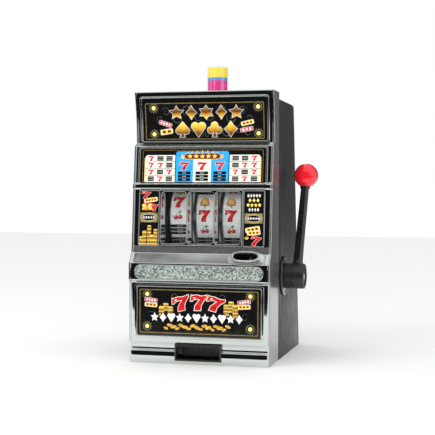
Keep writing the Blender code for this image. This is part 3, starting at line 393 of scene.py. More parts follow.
def front_samples():
    """Heights and fronts up the shell, with its creases eased."""
    mesh = frame["nodes"]["front_fascia"].data
    tree = BVHTree.FromPolygons(
        [vertex.co for vertex in mesh.vertices], [face.vertices for face in mesh.polygons]
    )
    clear = 0.05 * MM
    x = -(HALF_WIDTH - CORNER - 0.5 * MM)
    heights = span(SHELL_LOW.z + clear, SHELL_HIGH.z - clear, 0.25 * MM)
    fronts = [-tree.ray_cast(Vector((x, -1, z)), Vector((0, 1, 0)))[0].y for z in heights]
    reach = round(settings().crease / (0.25 * MM))
    eased = []
    for index in range(len(fronts)):
        near = min(reach, index, len(fronts) - 1 - index)
        around = fronts[index - near : index + near + 1]
        eased.append(sum(around) / len(around))
    heights[0], heights[-1] = SHELL_LOW.z, SHELL_HIGH.z
    return heights, eased


FRONT = {}


def front_at(height):
    """How far the shell's face stands in front of the seam at a height."""
    heights, fronts = FRONT["samples"]
    place = (height - heights[0]) / (heights[-1] - heights[0]) * (len(heights) - 1)
    place = min(max(place, 0), len(heights) - 1.001)
    index = int(place)
    return fronts[index] + (fronts[index + 1] - fronts[index]) * (place - index)


def leanest(samples, tolerance):
    """The samples that keep the line within the tolerance."""
    kept = [0, len(samples) - 1]
    pending = [(0, len(samples) - 1)]
    while pending:
        low, high = pending.pop()
        (z0, f0), (z1, f1) = samples[low], samples[high]
        worst, where = 0, None
        for index in range(low + 1, high):
            z, f = samples[index]
            off = abs(f - f0 - (f1 - f0) * (z - z0) / (z1 - z0))
            if off > worst:
                worst, where = off, index
        if where is not None and worst > tolerance:
            kept.append(where)
            pending += [(low, where), (where, high)]
    return [samples[index] for index in sorted(kept)]


def draped(obj, lift):
    """Lays a flat plate on the shell's face, its middle plane this far in front."""
    return bent(obj, lambda co: Vector((co.x, -(front_at(co.y) + lift + co.z), co.y)))


# Outlines, as lists of (x, z)


def arc(x, z, radius, start, end, steps=8, squash=1.0):
    """Points along a round stretch, angles in degrees."""
    points = []
    for k in range(steps + 1):
        angle = math.radians(start + (end - start) * k / steps)
        points.append((x + radius * math.cos(angle), z + radius * squash * math.sin(angle)))
    return points


def round_rectangle(low_x, low_z, high_x, high_z, radius, steps=5):
    return (
        arc(high_x - radius, high_z - radius, radius, 0, 90, steps)
        + arc(low_x + radius, high_z - radius, radius, 90, 180, steps)
        + arc(low_x + radius, low_z + radius, radius, 180, 270, steps)
        + arc(high_x - radius, low_z + radius, radius, 270, 360, steps)
    )


def rectangle(low_x, low_z, high_x, high_z):
    return [(low_x, low_z), (high_x, low_z), (high_x, high_z), (low_x, high_z)]


def ellipse(x, z, half_width, half_height, steps=28):
    return arc(x, z, half_width, 0, 360 - 360 / steps, steps - 1, half_height / half_width)


def put(outline, x, z, width, height, turn=0.0):
    """A unit outline round the origin, sized, turned and moved."""
    cosine, sine = math.cos(math.radians(turn)), math.sin(math.radians(turn))
    return [
        (
            x + u * width * cosine - v * height * sine,
            z + u * width * sine + v * height * cosine,
        )
        for u, v in outline
    ]


def seven():
    points = [
        (0.00, 0.60), (0.06, 1.00), (0.16, 0.96), (0.36, 1.00), (0.62, 0.93), (0.80, 0.97),
        (0.92, 1.00), (0.92, 0.86), (0.74, 0.62), (0.60, 0.32), (0.58, 0.00), (0.22, 0.00),
        (0.26, 0.28), (0.42, 0.56), (0.56, 0.72), (0.36, 0.74), (0.18, 0.70), (0.10, 0.60),
    ]
    return [(x - 0.46, z - 0.5) for x, z in points]


def star(points=5, inner=0.45, start=90.0):
    outline = []
    for k in range(2 * points):
        radius = 0.5 if k % 2 == 0 else 0.5 * inner
        angle = math.radians(start + 180 * k / points)
        outline.append((radius * math.cos(angle), radius * math.sin(angle)))
    return outline


def diamond():
    return [(0, 0.5), (-0.2, 0.2), (-0.42, 0), (-0.2, -0.2), (0, -0.5), (0.2, -0.2), (0.42, 0), (0.2, 0.2)]


def heart():
    return arc(-0.22, 0.2, 0.25, 20, 200, 10) + [(0, -0.5)] + arc(0.22, 0.2, 0.25, -20, 160, 10)


def spade():
    top = [(0, 0.5)] + arc(-0.22, -0.08, 0.23, 160, 320, 10)
    stem = [(-0.03, -0.24), (-0.16, -0.5), (0.16, -0.5), (0.03, -0.24)]
    return top + stem + arc(0.22, -0.08, 0.23, 220, 380, 10)


def club():
    return (
        arc(0, 0.25, 0.22, -30, 210, 10)
        + arc(-0.25, -0.06, 0.22, 70, 320, 10)
        + [(-0.03, -0.18), (-0.15, -0.5), (0.15, -0.5), (0.03, -0.18)]
        + arc(0.25, -0.06, 0.22, 220, 470, 10)
    )


def bell():
    foot = [(0.46, -0.36), (0.46, -0.26), (0.34, -0.14)]
    return foot + arc(0, 0.18, 0.28, 0, 180, 10) + [(-x, z) for x, z in reversed(foot)]


def scroll(x, z, radius, turns, start, way=1, width=0.16, steps=26):
    """A band that winds inwards and thins, as a printed flourish."""
    outer, inner = [], []
    for k in range(steps + 1):
        part = k / steps
        angle = math.radians(start) + way * 2 * math.pi * turns * part
        reach = radius * (1 - 0.82 * part)
        half = radius * width * (0.15 + math.sin(math.pi * min(1, part * 1.3 + 0.05)) * 0.5) / 2
        cosine, sine = math.cos(angle), math.sin(angle)
        outer.append((x + (reach + half) * cosine, z + (reach + half) * sine))
        inner.append((x + (reach - half) * cosine, z + (reach - half) * sine))
    return outer + inner[::-1]


# Materials


class Look:
    """A Principled material with helpers for its patterns, all on Object coordinates."""

    def __init__(self, name, colour, roughness, metallic=0.0, **sockets):
        self.material = bpy.data.materials.new(name)
        self.material.use_nodes = True
        self.nodes = self.material.node_tree.nodes
        self.links = self.material.node_tree.links
        self.shader = self.nodes["Principled BSDF"]
        self.place = self.nodes.new("ShaderNodeTexCoord").outputs["Object"]
        self.set("Base Color", (*colour, 1))
        self.set("Roughness", roughness)
        self.set("Metallic", metallic)
        for socket, value in sockets.items():
            self.set(socket.replace("_", " ").title().replace("Ior", "IOR"), value)

    def set(self, socket, value):
        if isinstance(value, bpy.types.NodeSocket):
            self.links.new(value, self.shader.inputs[socket])
        else:
            self.shader.inputs[socket].default_value = value

    def scaled(self, scale):
        mapping = self.nodes.new("ShaderNodeMapping")
        mapping.inputs["Scale"].default_value = scale
        self.links.new(self.place, mapping.inputs["Vector"])
        return mapping.outputs["Vector"]

    def noise(self, scale, detail=3.0, stretch=(1, 1, 1)):
        node = self.nodes.new("ShaderNodeTexNoise")
        node.inputs["Scale"].default_value = scale
        node.inputs["Detail"].default_value = detail
        self.links.new(self.scaled(stretch), node.inputs["Vector"])
        return node.outputs["Fac"]

    def cells(self, scale, feature="F1"):
        node = self.nodes.new("ShaderNodeTexVoronoi")
        node.feature = feature
        node.inputs["Scale"].default_value = scale
        self.links.new(self.place, node.inputs["Vector"])
        return node.outputs["Distance"]

    def ranged(self, value, low, high, from_low=0.0, from_high=1.0):
        node = self.nodes.new("ShaderNodeMapRange")
        node.inputs["From Min"].default_value = from_low
        node.inputs["From Max"].default_value = from_high
        node.inputs["To Min"].default_value = low
        node.inputs["To Max"].default_value = high
        self.links.new(value, node.inputs["Value"])
        return node.outputs["Result"]

    def part(self, axis):
        """One Object coordinate, in metres."""
        node = self.nodes.new("ShaderNodeSeparateXYZ")
        self.links.new(self.place, node.inputs["Vector"])
        return node.outputs[axis]

    def maths(self, operation, first, second=0.0):
        node = self.nodes.new("ShaderNodeMath")
        node.operation = operation
        for socket, value in zip(node.inputs, (first, second)):
            if isinstance(value, bpy.types.NodeSocket):
                self.links.new(value, socket)
            else:
                socket.default_value = value
        return node.outputs["Value"]

    def ramp(self, value, *stops, constant=False):
        """Colours at places from 0 to 1."""
        node = self.nodes.new("ShaderNodeValToRGB")
        ramp = node.color_ramp
        ramp.interpolation = "CONSTANT" if constant else "LINEAR"
        while len(ramp.elements) < len(stops):
            ramp.elements.new(0.5)
        for element, (place, colour) in zip(ramp.elements, stops):
            element.position = place
            element.color = (*colour, 1)
        self.links.new(value, node.inputs["Fac"])
        return node.outputs["Color"]

    def mix(self, factor, first, second):
        node = self.nodes.new("ShaderNodeMix")
        node.data_type = "RGBA"
        for socket, value in zip((node.inputs[0], node.inputs[6], node.inputs[7]), (factor, first, second)):
            if isinstance(value, bpy.types.NodeSocket):
                self.links.new(value, socket)
            elif isinstance(value, (int, float)):
                socket.default_value = value
            else:
                socket.default_value = (*value, 1)
        return node.outputs[2]

    def bump(self, height, distance, strength=1.0, under=None):
        node = self.nodes.new("ShaderNodeBump")
        node.inputs["Distance"].default_value = distance
        node.inputs["Strength"].default_value = strength
        self.links.new(height, node.inputs["Height"])
        if under is not None:
            self.links.new(under, node.inputs["Normal"])
        return node.outputs["Normal"]


def plating():
    """Mirror plating on moulded plastic, stippled on the sides and under the windows."""
    look = Look("plating", settings().chrome_colour, 0.05, 1.0)
    x = look.maths("ABSOLUTE", look.part("X"))
    z = look.part("Z")
    side = look.maths("GREATER_THAN", x, HALF_WIDTH - 0.6 * MM)
    low = look.maths("GREATER_THAN", z, DECK_HIGH + 0.8 * MM)
    high = look.maths("LESS_THAN", z, STIPPLE_HIGH - 0.6 * MM)
    inner = look.maths("LESS_THAN", x, HALF_WIDTH - CORNER + 2 * MM)
    band = look.maths("MULTIPLY", look.maths("MULTIPLY", low, high), inner)
    stipple = look.maths("MAXIMUM", side, band)
    grain = look.noise(1500, 2)
    height = look.maths("MULTIPLY", grain, stipple)
    ripple = look.bump(look.noise(14, 2), 0.35 * MM, 0.25)
    look.set("Normal", look.bump(height, 0.11 * MM, 0.8, ripple))
    scratch = look.ranged(look.noise(60, 6, (1, 1, 30)), 0.0, 0.05 * settings().scratches, 0.5, 0.8)
    smudge = look.ranged(look.noise(25, 4), 0.02, 0.07, 0.35, 0.75)
    base = look.maths("ADD", scratch, smudge)
    look.set("Roughness", look.maths("ADD", base, look.maths("MULTIPLY", stipple, 0.16)))
    look.set("Metallic", look.maths("SUBTRACT", 1.0, look.maths("MULTIPLY", stipple, 0.18)))
    shade = look.mix(look.noise(9, 3), tuple(settings().chrome_colour), (0.62, 0.66, 0.635))
    speckle = look.mix(look.ranged(grain, 0, 1, 0.4, 0.6), (0.30, 0.28, 0.30), (0.56, 0.53, 0.56))
    look.set("Base Color", look.mix(stipple, shade, speckle))
    return look.material


def stippled_plate():
    look = Look("stippled_plate", (0.60, 0.65, 0.60), 0.3, 0.45)
    grain = look.noise(520, 3)
    look.set("Normal", look.bump(grain, 0.3 * MM, 1.0))
    look.set("Roughness", look.ranged(look.noise(60, 4), 0.22, 0.36, 0.3, 0.7))
    spots = look.ranged(grain, 0, 1, 0.42, 0.58)
    look.set("Base Color", look.mix(spots, (0.15, 0.19, 0.17), (0.66, 0.73, 0.67)))
    return look.material


def moulded(name, colour, roughness, grain=900.0, depth=0.04, coat=0.0):
    """Moulded plastic with a fine grain, faint sheen changes and rubbed spots."""
    look = Look(name, colour, roughness, coat_weight=coat)
    tint = tuple(min(1, part * 1.35 + 0.004) for part in colour)
    look.set("Base Color", look.mix(look.ranged(look.noise(40, 4), 0, 1, 0.42, 0.7), colour, tint))
    low, high = max(0.02, roughness - 0.07), min(1, roughness + 0.07)
    look.set("Roughness", look.ranged(look.noise(70, 5), low, high, 0.3, 0.7))
    under = look.bump(look.noise(18, 2), 0.3 * MM, 0.12)
    look.set("Normal", look.bump(look.noise(grain, 2), depth * MM, 0.5, under))
    return look.material


def casing_skin():
    look = Look("casing_skin", settings().casing_colour, 0.42)
    colour = tuple(settings().casing_colour)
    worn = tuple(part * 1.7 + 0.006 for part in colour)
    look.set("Base Color", look.mix(look.ranged(look.noise(35, 6), 0, 1, 0.5, 0.75), colour, worn))
    look.set("Roughness", look.ranged(look.noise(50, 5), 0.36, 0.5, 0.3, 0.7))
    under = look.bump(look.noise(12, 2), 0.4 * MM, 0.2)
    look.set("Normal", look.bump(look.noise(1400, 2), 0.05 * MM, 0.6, under))
    return look.material


def turned_metal(name, colour, roughness, stretch=(1, 1, 1)):
    """Bare metal with cutting marks."""
    look = Look(name, colour, roughness, 1.0)
    marks = look.noise(220, 4, stretch)
    look.set("Roughness", look.ranged(marks, roughness - 0.06, roughness + 0.1, 0.3, 0.7))
    look.set("Normal", look.bump(marks, 0.02 * MM, 0.5))
    dark = tuple(part * 0.72 for part in colour)
    look.set("Base Color", look.mix(look.ranged(look.noise(30, 5), 0, 1, 0.4, 0.7), colour, dark))
    return look.material


def ink(name, colour, roughness=0.25, other=None, scale=220.0):
    """Printed ink under a thin clear laminate."""
    look = Look(name, colour, roughness, coat_weight=0.35, coat_roughness=0.08)
    other = other or tuple(part * 0.82 for part in colour)
    look.set("Base Color", look.mix(look.ranged(look.noise(scale, 4), 0, 1, 0.4, 0.65), colour, other))
    look.set("Roughness", look.ranged(look.noise(90, 4), roughness - 0.06, roughness + 0.08, 0.3, 0.7))
    look.set("Normal", look.bump(look.noise(1200, 2), 0.008 * MM, 0.4))
    return look.material


def graded_ink(name, low, high, *stops, roughness=0.25):
    """Ink whose colour changes from one height to another."""
    look = Look(name, stops[0][1], roughness, coat_weight=0.35, coat_roughness=0.08)
    level = look.ranged(look.part("Z"), 0, 1, low, high)
    wander = look.ranged(look.noise(300, 3), -0.05, 0.05, 0.3, 0.7)
    look.set("Base Color", look.ramp(look.maths("ADD", level, wander), *stops))
    look.set("Roughness", look.ranged(look.noise(90, 4), roughness - 0.06, roughness + 0.08, 0.3, 0.7))
    look.set("Normal", look.bump(look.noise(1200, 2), 0.008 * MM, 0.4))
    return look.material


def clear_plastic(name, alpha, tint=(0.9, 0.95, 0.95)):
    look = Look(name, tint, 0.03, alpha=alpha, coat_weight=0.5, coat_roughness=0.03)
    look.set("Roughness", look.ranged(look.noise(40, 4), 0.02, 0.08, 0.3, 0.7))
    return look.material


LOOKS = {}


def look_of(name):
    return LOOKS[name]


def make_looks():
    gold = tuple(settings().gold_colour)
    red = tuple(settings().seven_colour)
    white = (0.86, 0.86, 0.84)
    LOOKS.update(
        plating=plating(),
        stippled_plate=stippled_plate(),
        casing=casing_skin(),
        black_gloss=moulded("black_gloss", (0.008, 0.008, 0.009), 0.16, 300, 0.01, 0.4),
        black_satin=moulded("black_satin", (0.014, 0.015, 0.015), 0.36),
        red_ball=moulded("red_ball", tuple(settings().ball_colour), 0.12, 200, 0.006, 0.6),
        grey_plastic=moulded("grey_plastic", (0.10, 0.105, 0.11), 0.45),
        rubber=moulded("rubber", (0.012, 0.012, 0.012), 0.8, 700, 0.08),
        steel=turned_metal("steel", (0.56, 0.57, 0.58), 0.3, (8, 1, 1)),
        panel=ink("panel_ground", tuple(settings().panel_colour), 0.14),
        red=ink("red_ink", red, 0.22, (0.42, 0.004, 0.006)),
        dark_red=ink("dark_red_ink", (0.30, 0.004, 0.005)),
        white=ink("white_ink", white),
        cream=ink("cream_ink", (0.80, 0.80, 0.70)),
        black=ink("black_ink", (0.006, 0.006, 0.007)),
        grey=ink("grey_ink", (0.16, 0.165, 0.16)),
        gold=ink("gold_ink", gold, 0.25, (0.62, 0.30, 0.03), 500),
        dark_gold=ink("dark_gold_ink", (0.36, 0.23, 0.05), 0.3, (0.22, 0.13, 0.03), 500),
        olive=ink("olive_ink", (0.075, 0.085, 0.05), 0.3, (0.03, 0.035, 0.02), 400),
        khaki=ink("khaki_ink", (0.24, 0.22, 0.10), 0.3, (0.12, 0.11, 0.05), 400),
        pale=ink("pale_ink", (0.55, 0.57, 0.57), 0.3),
        maroon=ink("maroon_ink", (0.20, 0.025, 0.008), 0.25, (0.10, 0.012, 0.005)),
        lamp=ink("lamp_ink", (1.0, 0.80, 0.22), 0.25, (0.95, 0.62, 0.10)),
        yellow=ink("yellow_ink", (0.92, 0.72, 0.16), 0.25, (0.80, 0.52, 0.08)),
        blue=ink("blue_ink", (0.02, 0.30, 0.74), 0.22, (0.03, 0.42, 0.86)),
        green=ink("green_ink", (0.02, 0.22, 0.03)),
        strip=ink("reel_strip", (0.86, 0.88, 0.88), 0.4),
        gold_rising=graded_ink(
            "gold_rising", 306.5 * MM, 322 * MM,
            (0.0, (1.0, 0.74, 0.06)), (0.35, (0.62, 0.30, 0.02)),
            (0.62, (0.12, 0.03, 0.003)), (1.0, (0.34, 0.20, 0.05)),
        ),
        gold_falling=graded_ink(
            "gold_falling", 284 * MM, 304 * MM,
            (0.0, (0.10, 0.03, 0.003)), (0.3, (0.22, 0.08, 0.008)),
            (0.62, (0.72, 0.40, 0.03)), (1.0, (1.0, 0.80, 0.10)),
        ),
        clear=clear_plastic("clear_plastic", 0.05, (0.12, 0.13, 0.13)),
        clear_thick=clear_plastic("beacon_glass", 0.10, (0.34, 0.36, 0.37)),
    )


# Printed artwork


class Print:
    """Flat shapes sorted by layer and ink, then made into one piece."""

    def __init__(self):
        self.sheets = {}

    def add(self, layer, ink_name, *outlines, grow=0.0):
        self.sheets.setdefault((layer, ink_name, grow), []).extend(outlines)

    def made(self, name, stops, lay, normal=(0, 1, 0)):
        """One mesh of all the inks, laid down by a rule of (point, lift)."""
        parts = []
        for (layer, ink_name, grow), outlines in sorted(self.sheets.items()):
            part = flat(f"{name}_{layer}_{ink_name}", outlines, INK, grow=grow)
            part.data.materials.append(look_of(ink_name))
            bent(part, lambda co, layer=layer: Vector((co.x, co.y, co.z + layer * INK)))
            parts.append(part)
        obj = joined(name, parts)
        if stops:
            sliced(obj, stops, normal)
        return lay(obj)


def lamp(art, x, z, size=1.0):
    """A lit lamp: a glowing core in a dim ring with short rays."""
    art.add(1, "khaki", *[ellipse(x, z, reach * size, reach * size, 24) for reach in (5.0, 4.3)])
    for k in range(12):
        art.add(1, "khaki", *[
            put(rectangle(-0.5, -0.5, 0.5, 0.5), u, v, 0.55 * size, 1.5 * size, 30 * k)
            for u, v in put([(0, 6.0 * size)], x, z, 1, 1, 30 * k)
        ])
    art.add(2, "lamp", ellipse(x, z, 2.7 * size, 2.7 * size, 20))
    art.add(3, "cream", ellipse(x, z, 1.1 * size, 1.1 * size, 14))


def ticket(art, layer, ink_name, x, z, width, height, turn):
    """A ticket with a row of plain marks."""
    plate = put(round_rectangle(-0.5, -0.5, 0.5, 0.5, 0.12, 2), x, z, width, height, turn)
    art.add(layer, "white", plate, grow=0.4 * MM)
    art.add(layer + 1, ink_name, plate)
    mark = "white" if ink_name in ("red", "dark_red") else "dark_red"
    count = max(2, int(width / height / 0.9))
    for k in range(count):
        u = (k + 0.5) / count - 0.5
        art.add(
            layer + 2,
            mark,
            *[put(rectangle(-0.34, -0.28, 0.34, 0.28), *spot, width * 0.8 / count, height, turn)
              for spot in put([(u * 0.86, 0)], x, z, width, height, turn)],
        )


def big_seven(art, layer, x, z, width, height, turn=0.0, outline=0.4 * MM):
    """A red seven with a pale edge and a small glint."""
    art.add(layer, "cream", put(seven(), x, z, width, height, turn), grow=outline)
    art.add(layer + 1, "red", put(seven(), x, z, width, height, turn))
    glint = put([(-0.30, 0.27), (-0.16, 0.29), (-0.18, 0.36), (-0.30, 0.33)], x, z, width, height, turn)
    art.add(layer + 2, "cream", glint)


def coin_stack(art, layer, x, z, width, count, height=2.3 * MM):
    """A pile of coins seen a little from above."""
    half = width / 2
    for k in range(count):
        low = z + k * height
        ink_name = "dark_gold" if k % 2 else "gold"
        art.add(layer, ink_name, rectangle(x - half, low, x + half, low + height * 0.78))
        art.add(layer, "black", rectangle(x - half, low + height * 0.8, x + half, low + height * 0.98))
    top = z + count * height
    art.add(layer + 1, "yellow", ellipse(x, top, half, half * 0.3, 18))
    outer, inner = ellipse(x, top, half * 0.7, half * 0.2, 16), ellipse(x, top, half * 0.55, half * 0.14, 16)
    art.add(layer + 2, "dark_gold", outer, inner)


def loose_coin(art, layer, x, z, radius, turn=0.0, flat_by=0.7):
    art.add(layer, "gold", put(ellipse(0, 0, 0.5, 0.5, 20), x, z, 2 * radius, 2 * radius * flat_by, turn))
    art.add(
        layer + 1,
        "dark_gold",
        put(ellipse(0, 0, 0.40, 0.40, 18), x, z, 2 * radius, 2 * radius * flat_by, turn),
        put(ellipse(0, 0, 0.31, 0.31, 18), x, z, 2 * radius, 2 * radius * flat_by, turn),
    )
    art.add(layer + 1, "dark_gold", put(star(), x, z, radius * 0.8, radius * 0.8 * flat_by, turn))


def stacked_bars(art, layer, x, z, width, height, marks=True):
    """Three black bars, one over another, with small pale marks."""
    step = height / 3
    for k in (-1, 0, 1):
        middle = z + k * step
        outline = round_rectangle(
            x - width / 2, middle - step * 0.42, x + width / 2, middle + step * 0.42, step * 0.12, 2
        )
        art.add(layer, "black", outline)
        if marks:
            for u in (-0.1, 0, 0.1):
                art.add(layer + 1, "pale", put(diamond(), x + u * width, middle, step * 0.4, step * 0.42))


def border(art, low, high, inset, width, ink_name="dark_gold"):
    """A thin printed line round a panel."""
    def loop(more):
        gap = inset + more
        return round_rectangle(low.x + gap, low.z + gap, high.x - gap, high.z - gap, 1.5 * MM, 3)
    art.add(1, ink_name, loop(0), loop(width))


def laid_on_front(obj):
    return draped(obj, PANEL_FACE)


def marquee_art():
    art = Print()
    low, high = MARQUEE_LOW, MARQUEE_HIGH
    border(art, low, high, 1.6 * MM, 0.6 * MM, "dark_gold")
    border(art, low, high, 2.7 * MM, 0.25 * MM, "olive")
    for x in (-66 * MM, 70 * MM):
        for z in (low.z + 8.4 * MM, high.z - 7.6 * MM):
            lamp(art, x, z, MM)
    middle = (low.z + high.z) / 2
    for sign in (-1, 1):
        for x, z, radius, turns, start in (
            (8, 6, 6, 1.3, 200), (22, 14, 7, 1.4, 250), (36, 4, 7, 1.3, 160), (50, 12, 6, 1.3, 20),
            (14, -8, 6.5, 1.4, 140), (30, -14, 7, 1.4, 90), (46, -9, 6.5, 1.3, 200), (57, -15, 5, 1.2, 60),
            (58, 3, 4.5, 1.2, 300), (4, -17, 4, 1.2, 30),
        ):
            outline = scroll(x * MM, middle + z * MM, radius * MM, turns, start, 1, 0.3)
            art.add(1 if radius > 6 else 2, "olive", [(sign * u, v) for u, v in outline])
    upper = 315.2 * MM
    for index, x in enumerate((-36, -16.5, 3, 22.5, 42)):
        shape = (star(5, 0.5), diamond(), star(6, 0.62), diamond(), star(5, 0.5))[index]
        wide = (19, 16, 19, 16, 19)[index] * MM
        art.add(4, "pale", put(shape, x * MM, upper, wide, 17 * MM), grow=0.6 * MM)
        art.add(5, "gold_rising", put(shape, x * MM, upper, wide, 17 * MM))
    lower = 294.2 * MM
    for shape, x in ((spade(), -28.5), (heart(), -7.5), (club(), 13.5), (diamond(), 34.5)):
        art.add(6, "pale", put(shape, x * MM, lower, 20 * MM, 19.5 * MM), grow=0.6 * MM)
        art.add(7, "gold_falling", put(shape, x * MM, lower, 20 * MM, 19.5 * MM))
    ticket(art, 4, "red", -51 * MM, 301.5 * MM, 17 * MM, 4.6 * MM, -18)
    ticket(art, 4, "yellow", -49.5 * MM, 291.5 * MM, 15.5 * MM, 6 * MM, 8)
    ticket(art, 4, "yellow", 56 * MM, 301.8 * MM, 16 * MM, 4.6 * MM, 12)
    ticket(art, 4, "red", 55 * MM, 293.6 * MM, 16 * MM, 4.6 * MM, 10)
    return art.made("marquee_print", span(low.z, high.z, 3 * MM), laid_on_front)


SEVEN, BAR = "seven", "bar"
LEFT_ROWS = ((SEVEN, BAR, BAR), (SEVEN, SEVEN, BAR), (SEVEN, BAR, SEVEN), (BAR, SEVEN, BAR))
RIGHT_ROWS = ((BAR, BAR, SEVEN), (BAR, SEVEN, SEVEN), (SEVEN, BAR, SEVEN), (BAR, SEVEN, BAR))


def pay_rows(art, side, rows):
    """Four rows of three small symbols on a pale block."""
    low_x, high_x = 35.4 * MM, 74.6 * MM
    low, top, step = 227.2 * MM, 261.4 * MM, 8.55 * MM
    outline = (
        [(low_x, low), (high_x, low)]
        + arc(high_x - 3 * MM, top - 3 * MM, 3 * MM, 0, 90, 5)
        + [(low_x, top)]
    )
    edge = rectangle(high_x + 0.2 * MM, low, high_x + 1.1 * MM, top - 3 * MM)
    art.add(1, "cream", [(side * x, z) for x, z in outline])
    art.add(1, "yellow", [(side * x, z) for x, z in edge])
    for number, row in enumerate(rows):
        z = top - (number + 0.5) * step
        if number:
            line = rectangle(low_x, z + step / 2 - 0.25 * MM, high_x, z + step / 2 + 0.25 * MM)
            art.add(2, "olive", [(side * x, w) for x, w in line])
        for place, symbol in enumerate(row):
            x = side * (low_x + high_x) / 2 + (place - 1) * 12 * MM
            if symbol == SEVEN:
                art.add(2, "red", put(seven(), x, z, 7.8 * MM, 6.2 * MM))
            else:
                stacked_bars(art, 2, x, z, 8.4 * MM, 6.2 * MM, False)


def paytable_art():
    art = Print()
    low, high = TABLE_LOW, TABLE_HIGH
    border(art, low, high, 0.8 * MM, 0.35 * MM, "dark_gold")
    pay_rows(art, -1, LEFT_ROWS)
    pay_rows(art, 1, RIGHT_ROWS)
    bottom, half = 227.2 * MM, 34.2 * MM
    crown = arc(half - 3 * MM, 263 * MM, 3 * MM, 0, 90, 6)
    crown += arc(-half + 3 * MM, 263 * MM, 3 * MM, 90, 180, 6)
    art.add(1, "blue", [(-half, bottom), (half, bottom)] + crown)
    art.add(2, "cream", rectangle(-11.6 * MM, bottom, 11.6 * MM, 257 * MM))
    for x in (-23, 0, 23):
        art.add(3, "cream", put(seven(), x * MM, 247.4 * MM, 13.2 * MM, 10 * MM), grow=0.35 * MM)
        art.add(4, "red", put(seven(), x * MM, 247.4 * MM, 13.2 * MM, 10 * MM))
        stacked_bars(art, 4, x * MM, 234.6 * MM, 16.5 * MM, 12.6 * MM)
    banner_art(art)
    return art.made("paytable_print", span(low.z, high.z, 14 * MM), laid_on_front)


def banner_art(art):
    """A dark red banner with stars and gold leaves over the pay columns."""
    middle = 259.8 * MM
    for k in range(9):
        turn = (4 - k) * 13
        spot = ((k - 4) * 6.4 * MM, middle + (1.8 - 0.16 * (k - 4) ** 2) * MM)
        art.add(5, "gold", put(diamond(), *spot, 6 * MM, (13 - 0.35 * (k - 4) ** 2) * MM, turn * 0.35))
    plate = [(-21, -3.4), (21, -3.4), (23.5, -0.2), (21, 3.4), (-21, 3.4), (-23.5, -0.2)]
    outline = [(x * MM, middle + z * MM) for x, z in plate]
    art.add(6, "gold", outline, grow=0.6 * MM)
    art.add(7, "maroon", outline)
    for k in range(5):
        art.add(8, "yellow", put(star(), (k - 2) * 8 * MM, middle, 7.4 * MM, 6.2 * MM))


def oval_sign(art, x, z, width, height):
    """A gold block with a black oval and a row of stars."""
    ground = round_rectangle(x - width / 2, z - height / 2, x + width / 2, z + height / 2, 1 * MM, 2)
    art.add(4, "khaki", ground)
    art.add(5, "gold", ellipse(x, z, width * 0.48, height * 0.46, 36))
    art.add(6, "black", ellipse(x, z, width * 0.45, height * 0.41, 36))
    for reach, rise in ((0.41, 0.35), (0.39, 0.32)):
        art.add(7, "white", ellipse(x, z, width * reach, height * rise, 36))
    for k in (-2, -1, 0, 1, 2):
        art.add(7, "cream", put(star(), x + k * width * 0.145, z, width * 0.15, height * 0.34))


def left_side_art():
    art = Print()
    x = -(SIDE_LOW.x + SIDE_HIGH.x) / 2
    big_seven(art, 7, x - 4.6 * MM, 210.6 * MM, 13 * MM, 9.4 * MM, -8, 0.2 * MM)
    ticket(art, 4, "yellow", x + 2 * MM, 204.6 * MM, 17 * MM, 4.6 * MM, 8)
    art.add(1, "red", put(star(9, 0.62), x - 2 * MM, 196.5 * MM, 19 * MM, 14 * MM))
    for shift, turn in ((-6, 14), (1, -14)):
        spot = (x + shift * MM, 196 * MM)
        art.add(2, "black", put(bell(), *spot, 9.4 * MM, 9 * MM, turn), grow=0.3 * MM)
        art.add(3, "gold", put(bell(), *spot, 9.4 * MM, 9 * MM, turn))
        art.add(4, "cream", put(ellipse(-0.12, 0.12, 0.06, 0.2, 10), *spot, 9.4 * MM, 9 * MM, turn))
    big_seven(art, 10, x + 7.4 * MM, 195 * MM, 10 * MM, 8.6 * MM, -4, 0.2 * MM)
    oval_sign(art, x, 182.5 * MM, 23 * MM, 12.4 * MM)
    for place, count, layer in ((-9.8, 4, 3), (-5.4, 7, 6), (0.8, 10, 3), (5.2, 5, 6), (9.2, 8, 3)):
        coin_stack(art, layer, x + place * MM, 148.2 * MM, 5.2 * MM, count, 2.35 * MM)
    return art.made("left_side_print", [], laid_on_front)


def right_side_art():
    art = Print()
    x = (SIDE_LOW.x + SIDE_HIGH.x) / 2
    for number, (count, width) in enumerate(((5, 3.4), (3, 4.8), (4, 4.6), (4, 3.4))):
        z = (210.4 - 5.8 * number) * MM
        for k in range(count):
            spot = x + (k - (count - 1) / 2) * width * 1.05 * MM
            shape = star(5, 0.5) if number % 2 == 0 else diamond()
            art.add(1, "lamp" if number in (1, 2) else "cream", put(shape, spot, z, width * MM, 5.2 * MM))
    oval_sign(art, x, 182.2 * MM, 23 * MM, 12.4 * MM)
    ticket(art, 1, "yellow", x - 1 * MM, 168.6 * MM, 17.5 * MM, 5.6 * MM, 10)
    ticket(art, 4, "yellow", x + 0.5 * MM, 164.4 * MM, 16 * MM, 4.6 * MM, 4)
    big_seven(art, 7, x + 2.8 * MM, 154.4 * MM, 13.4 * MM, 12.2 * MM, -16, 0.25 * MM)
    loose_coin(art, 3, x - 8.4 * MM, 158 * MM, 2.4 * MM, 0, 0.8)
    return art.made("right_side_print", [], laid_on_front)


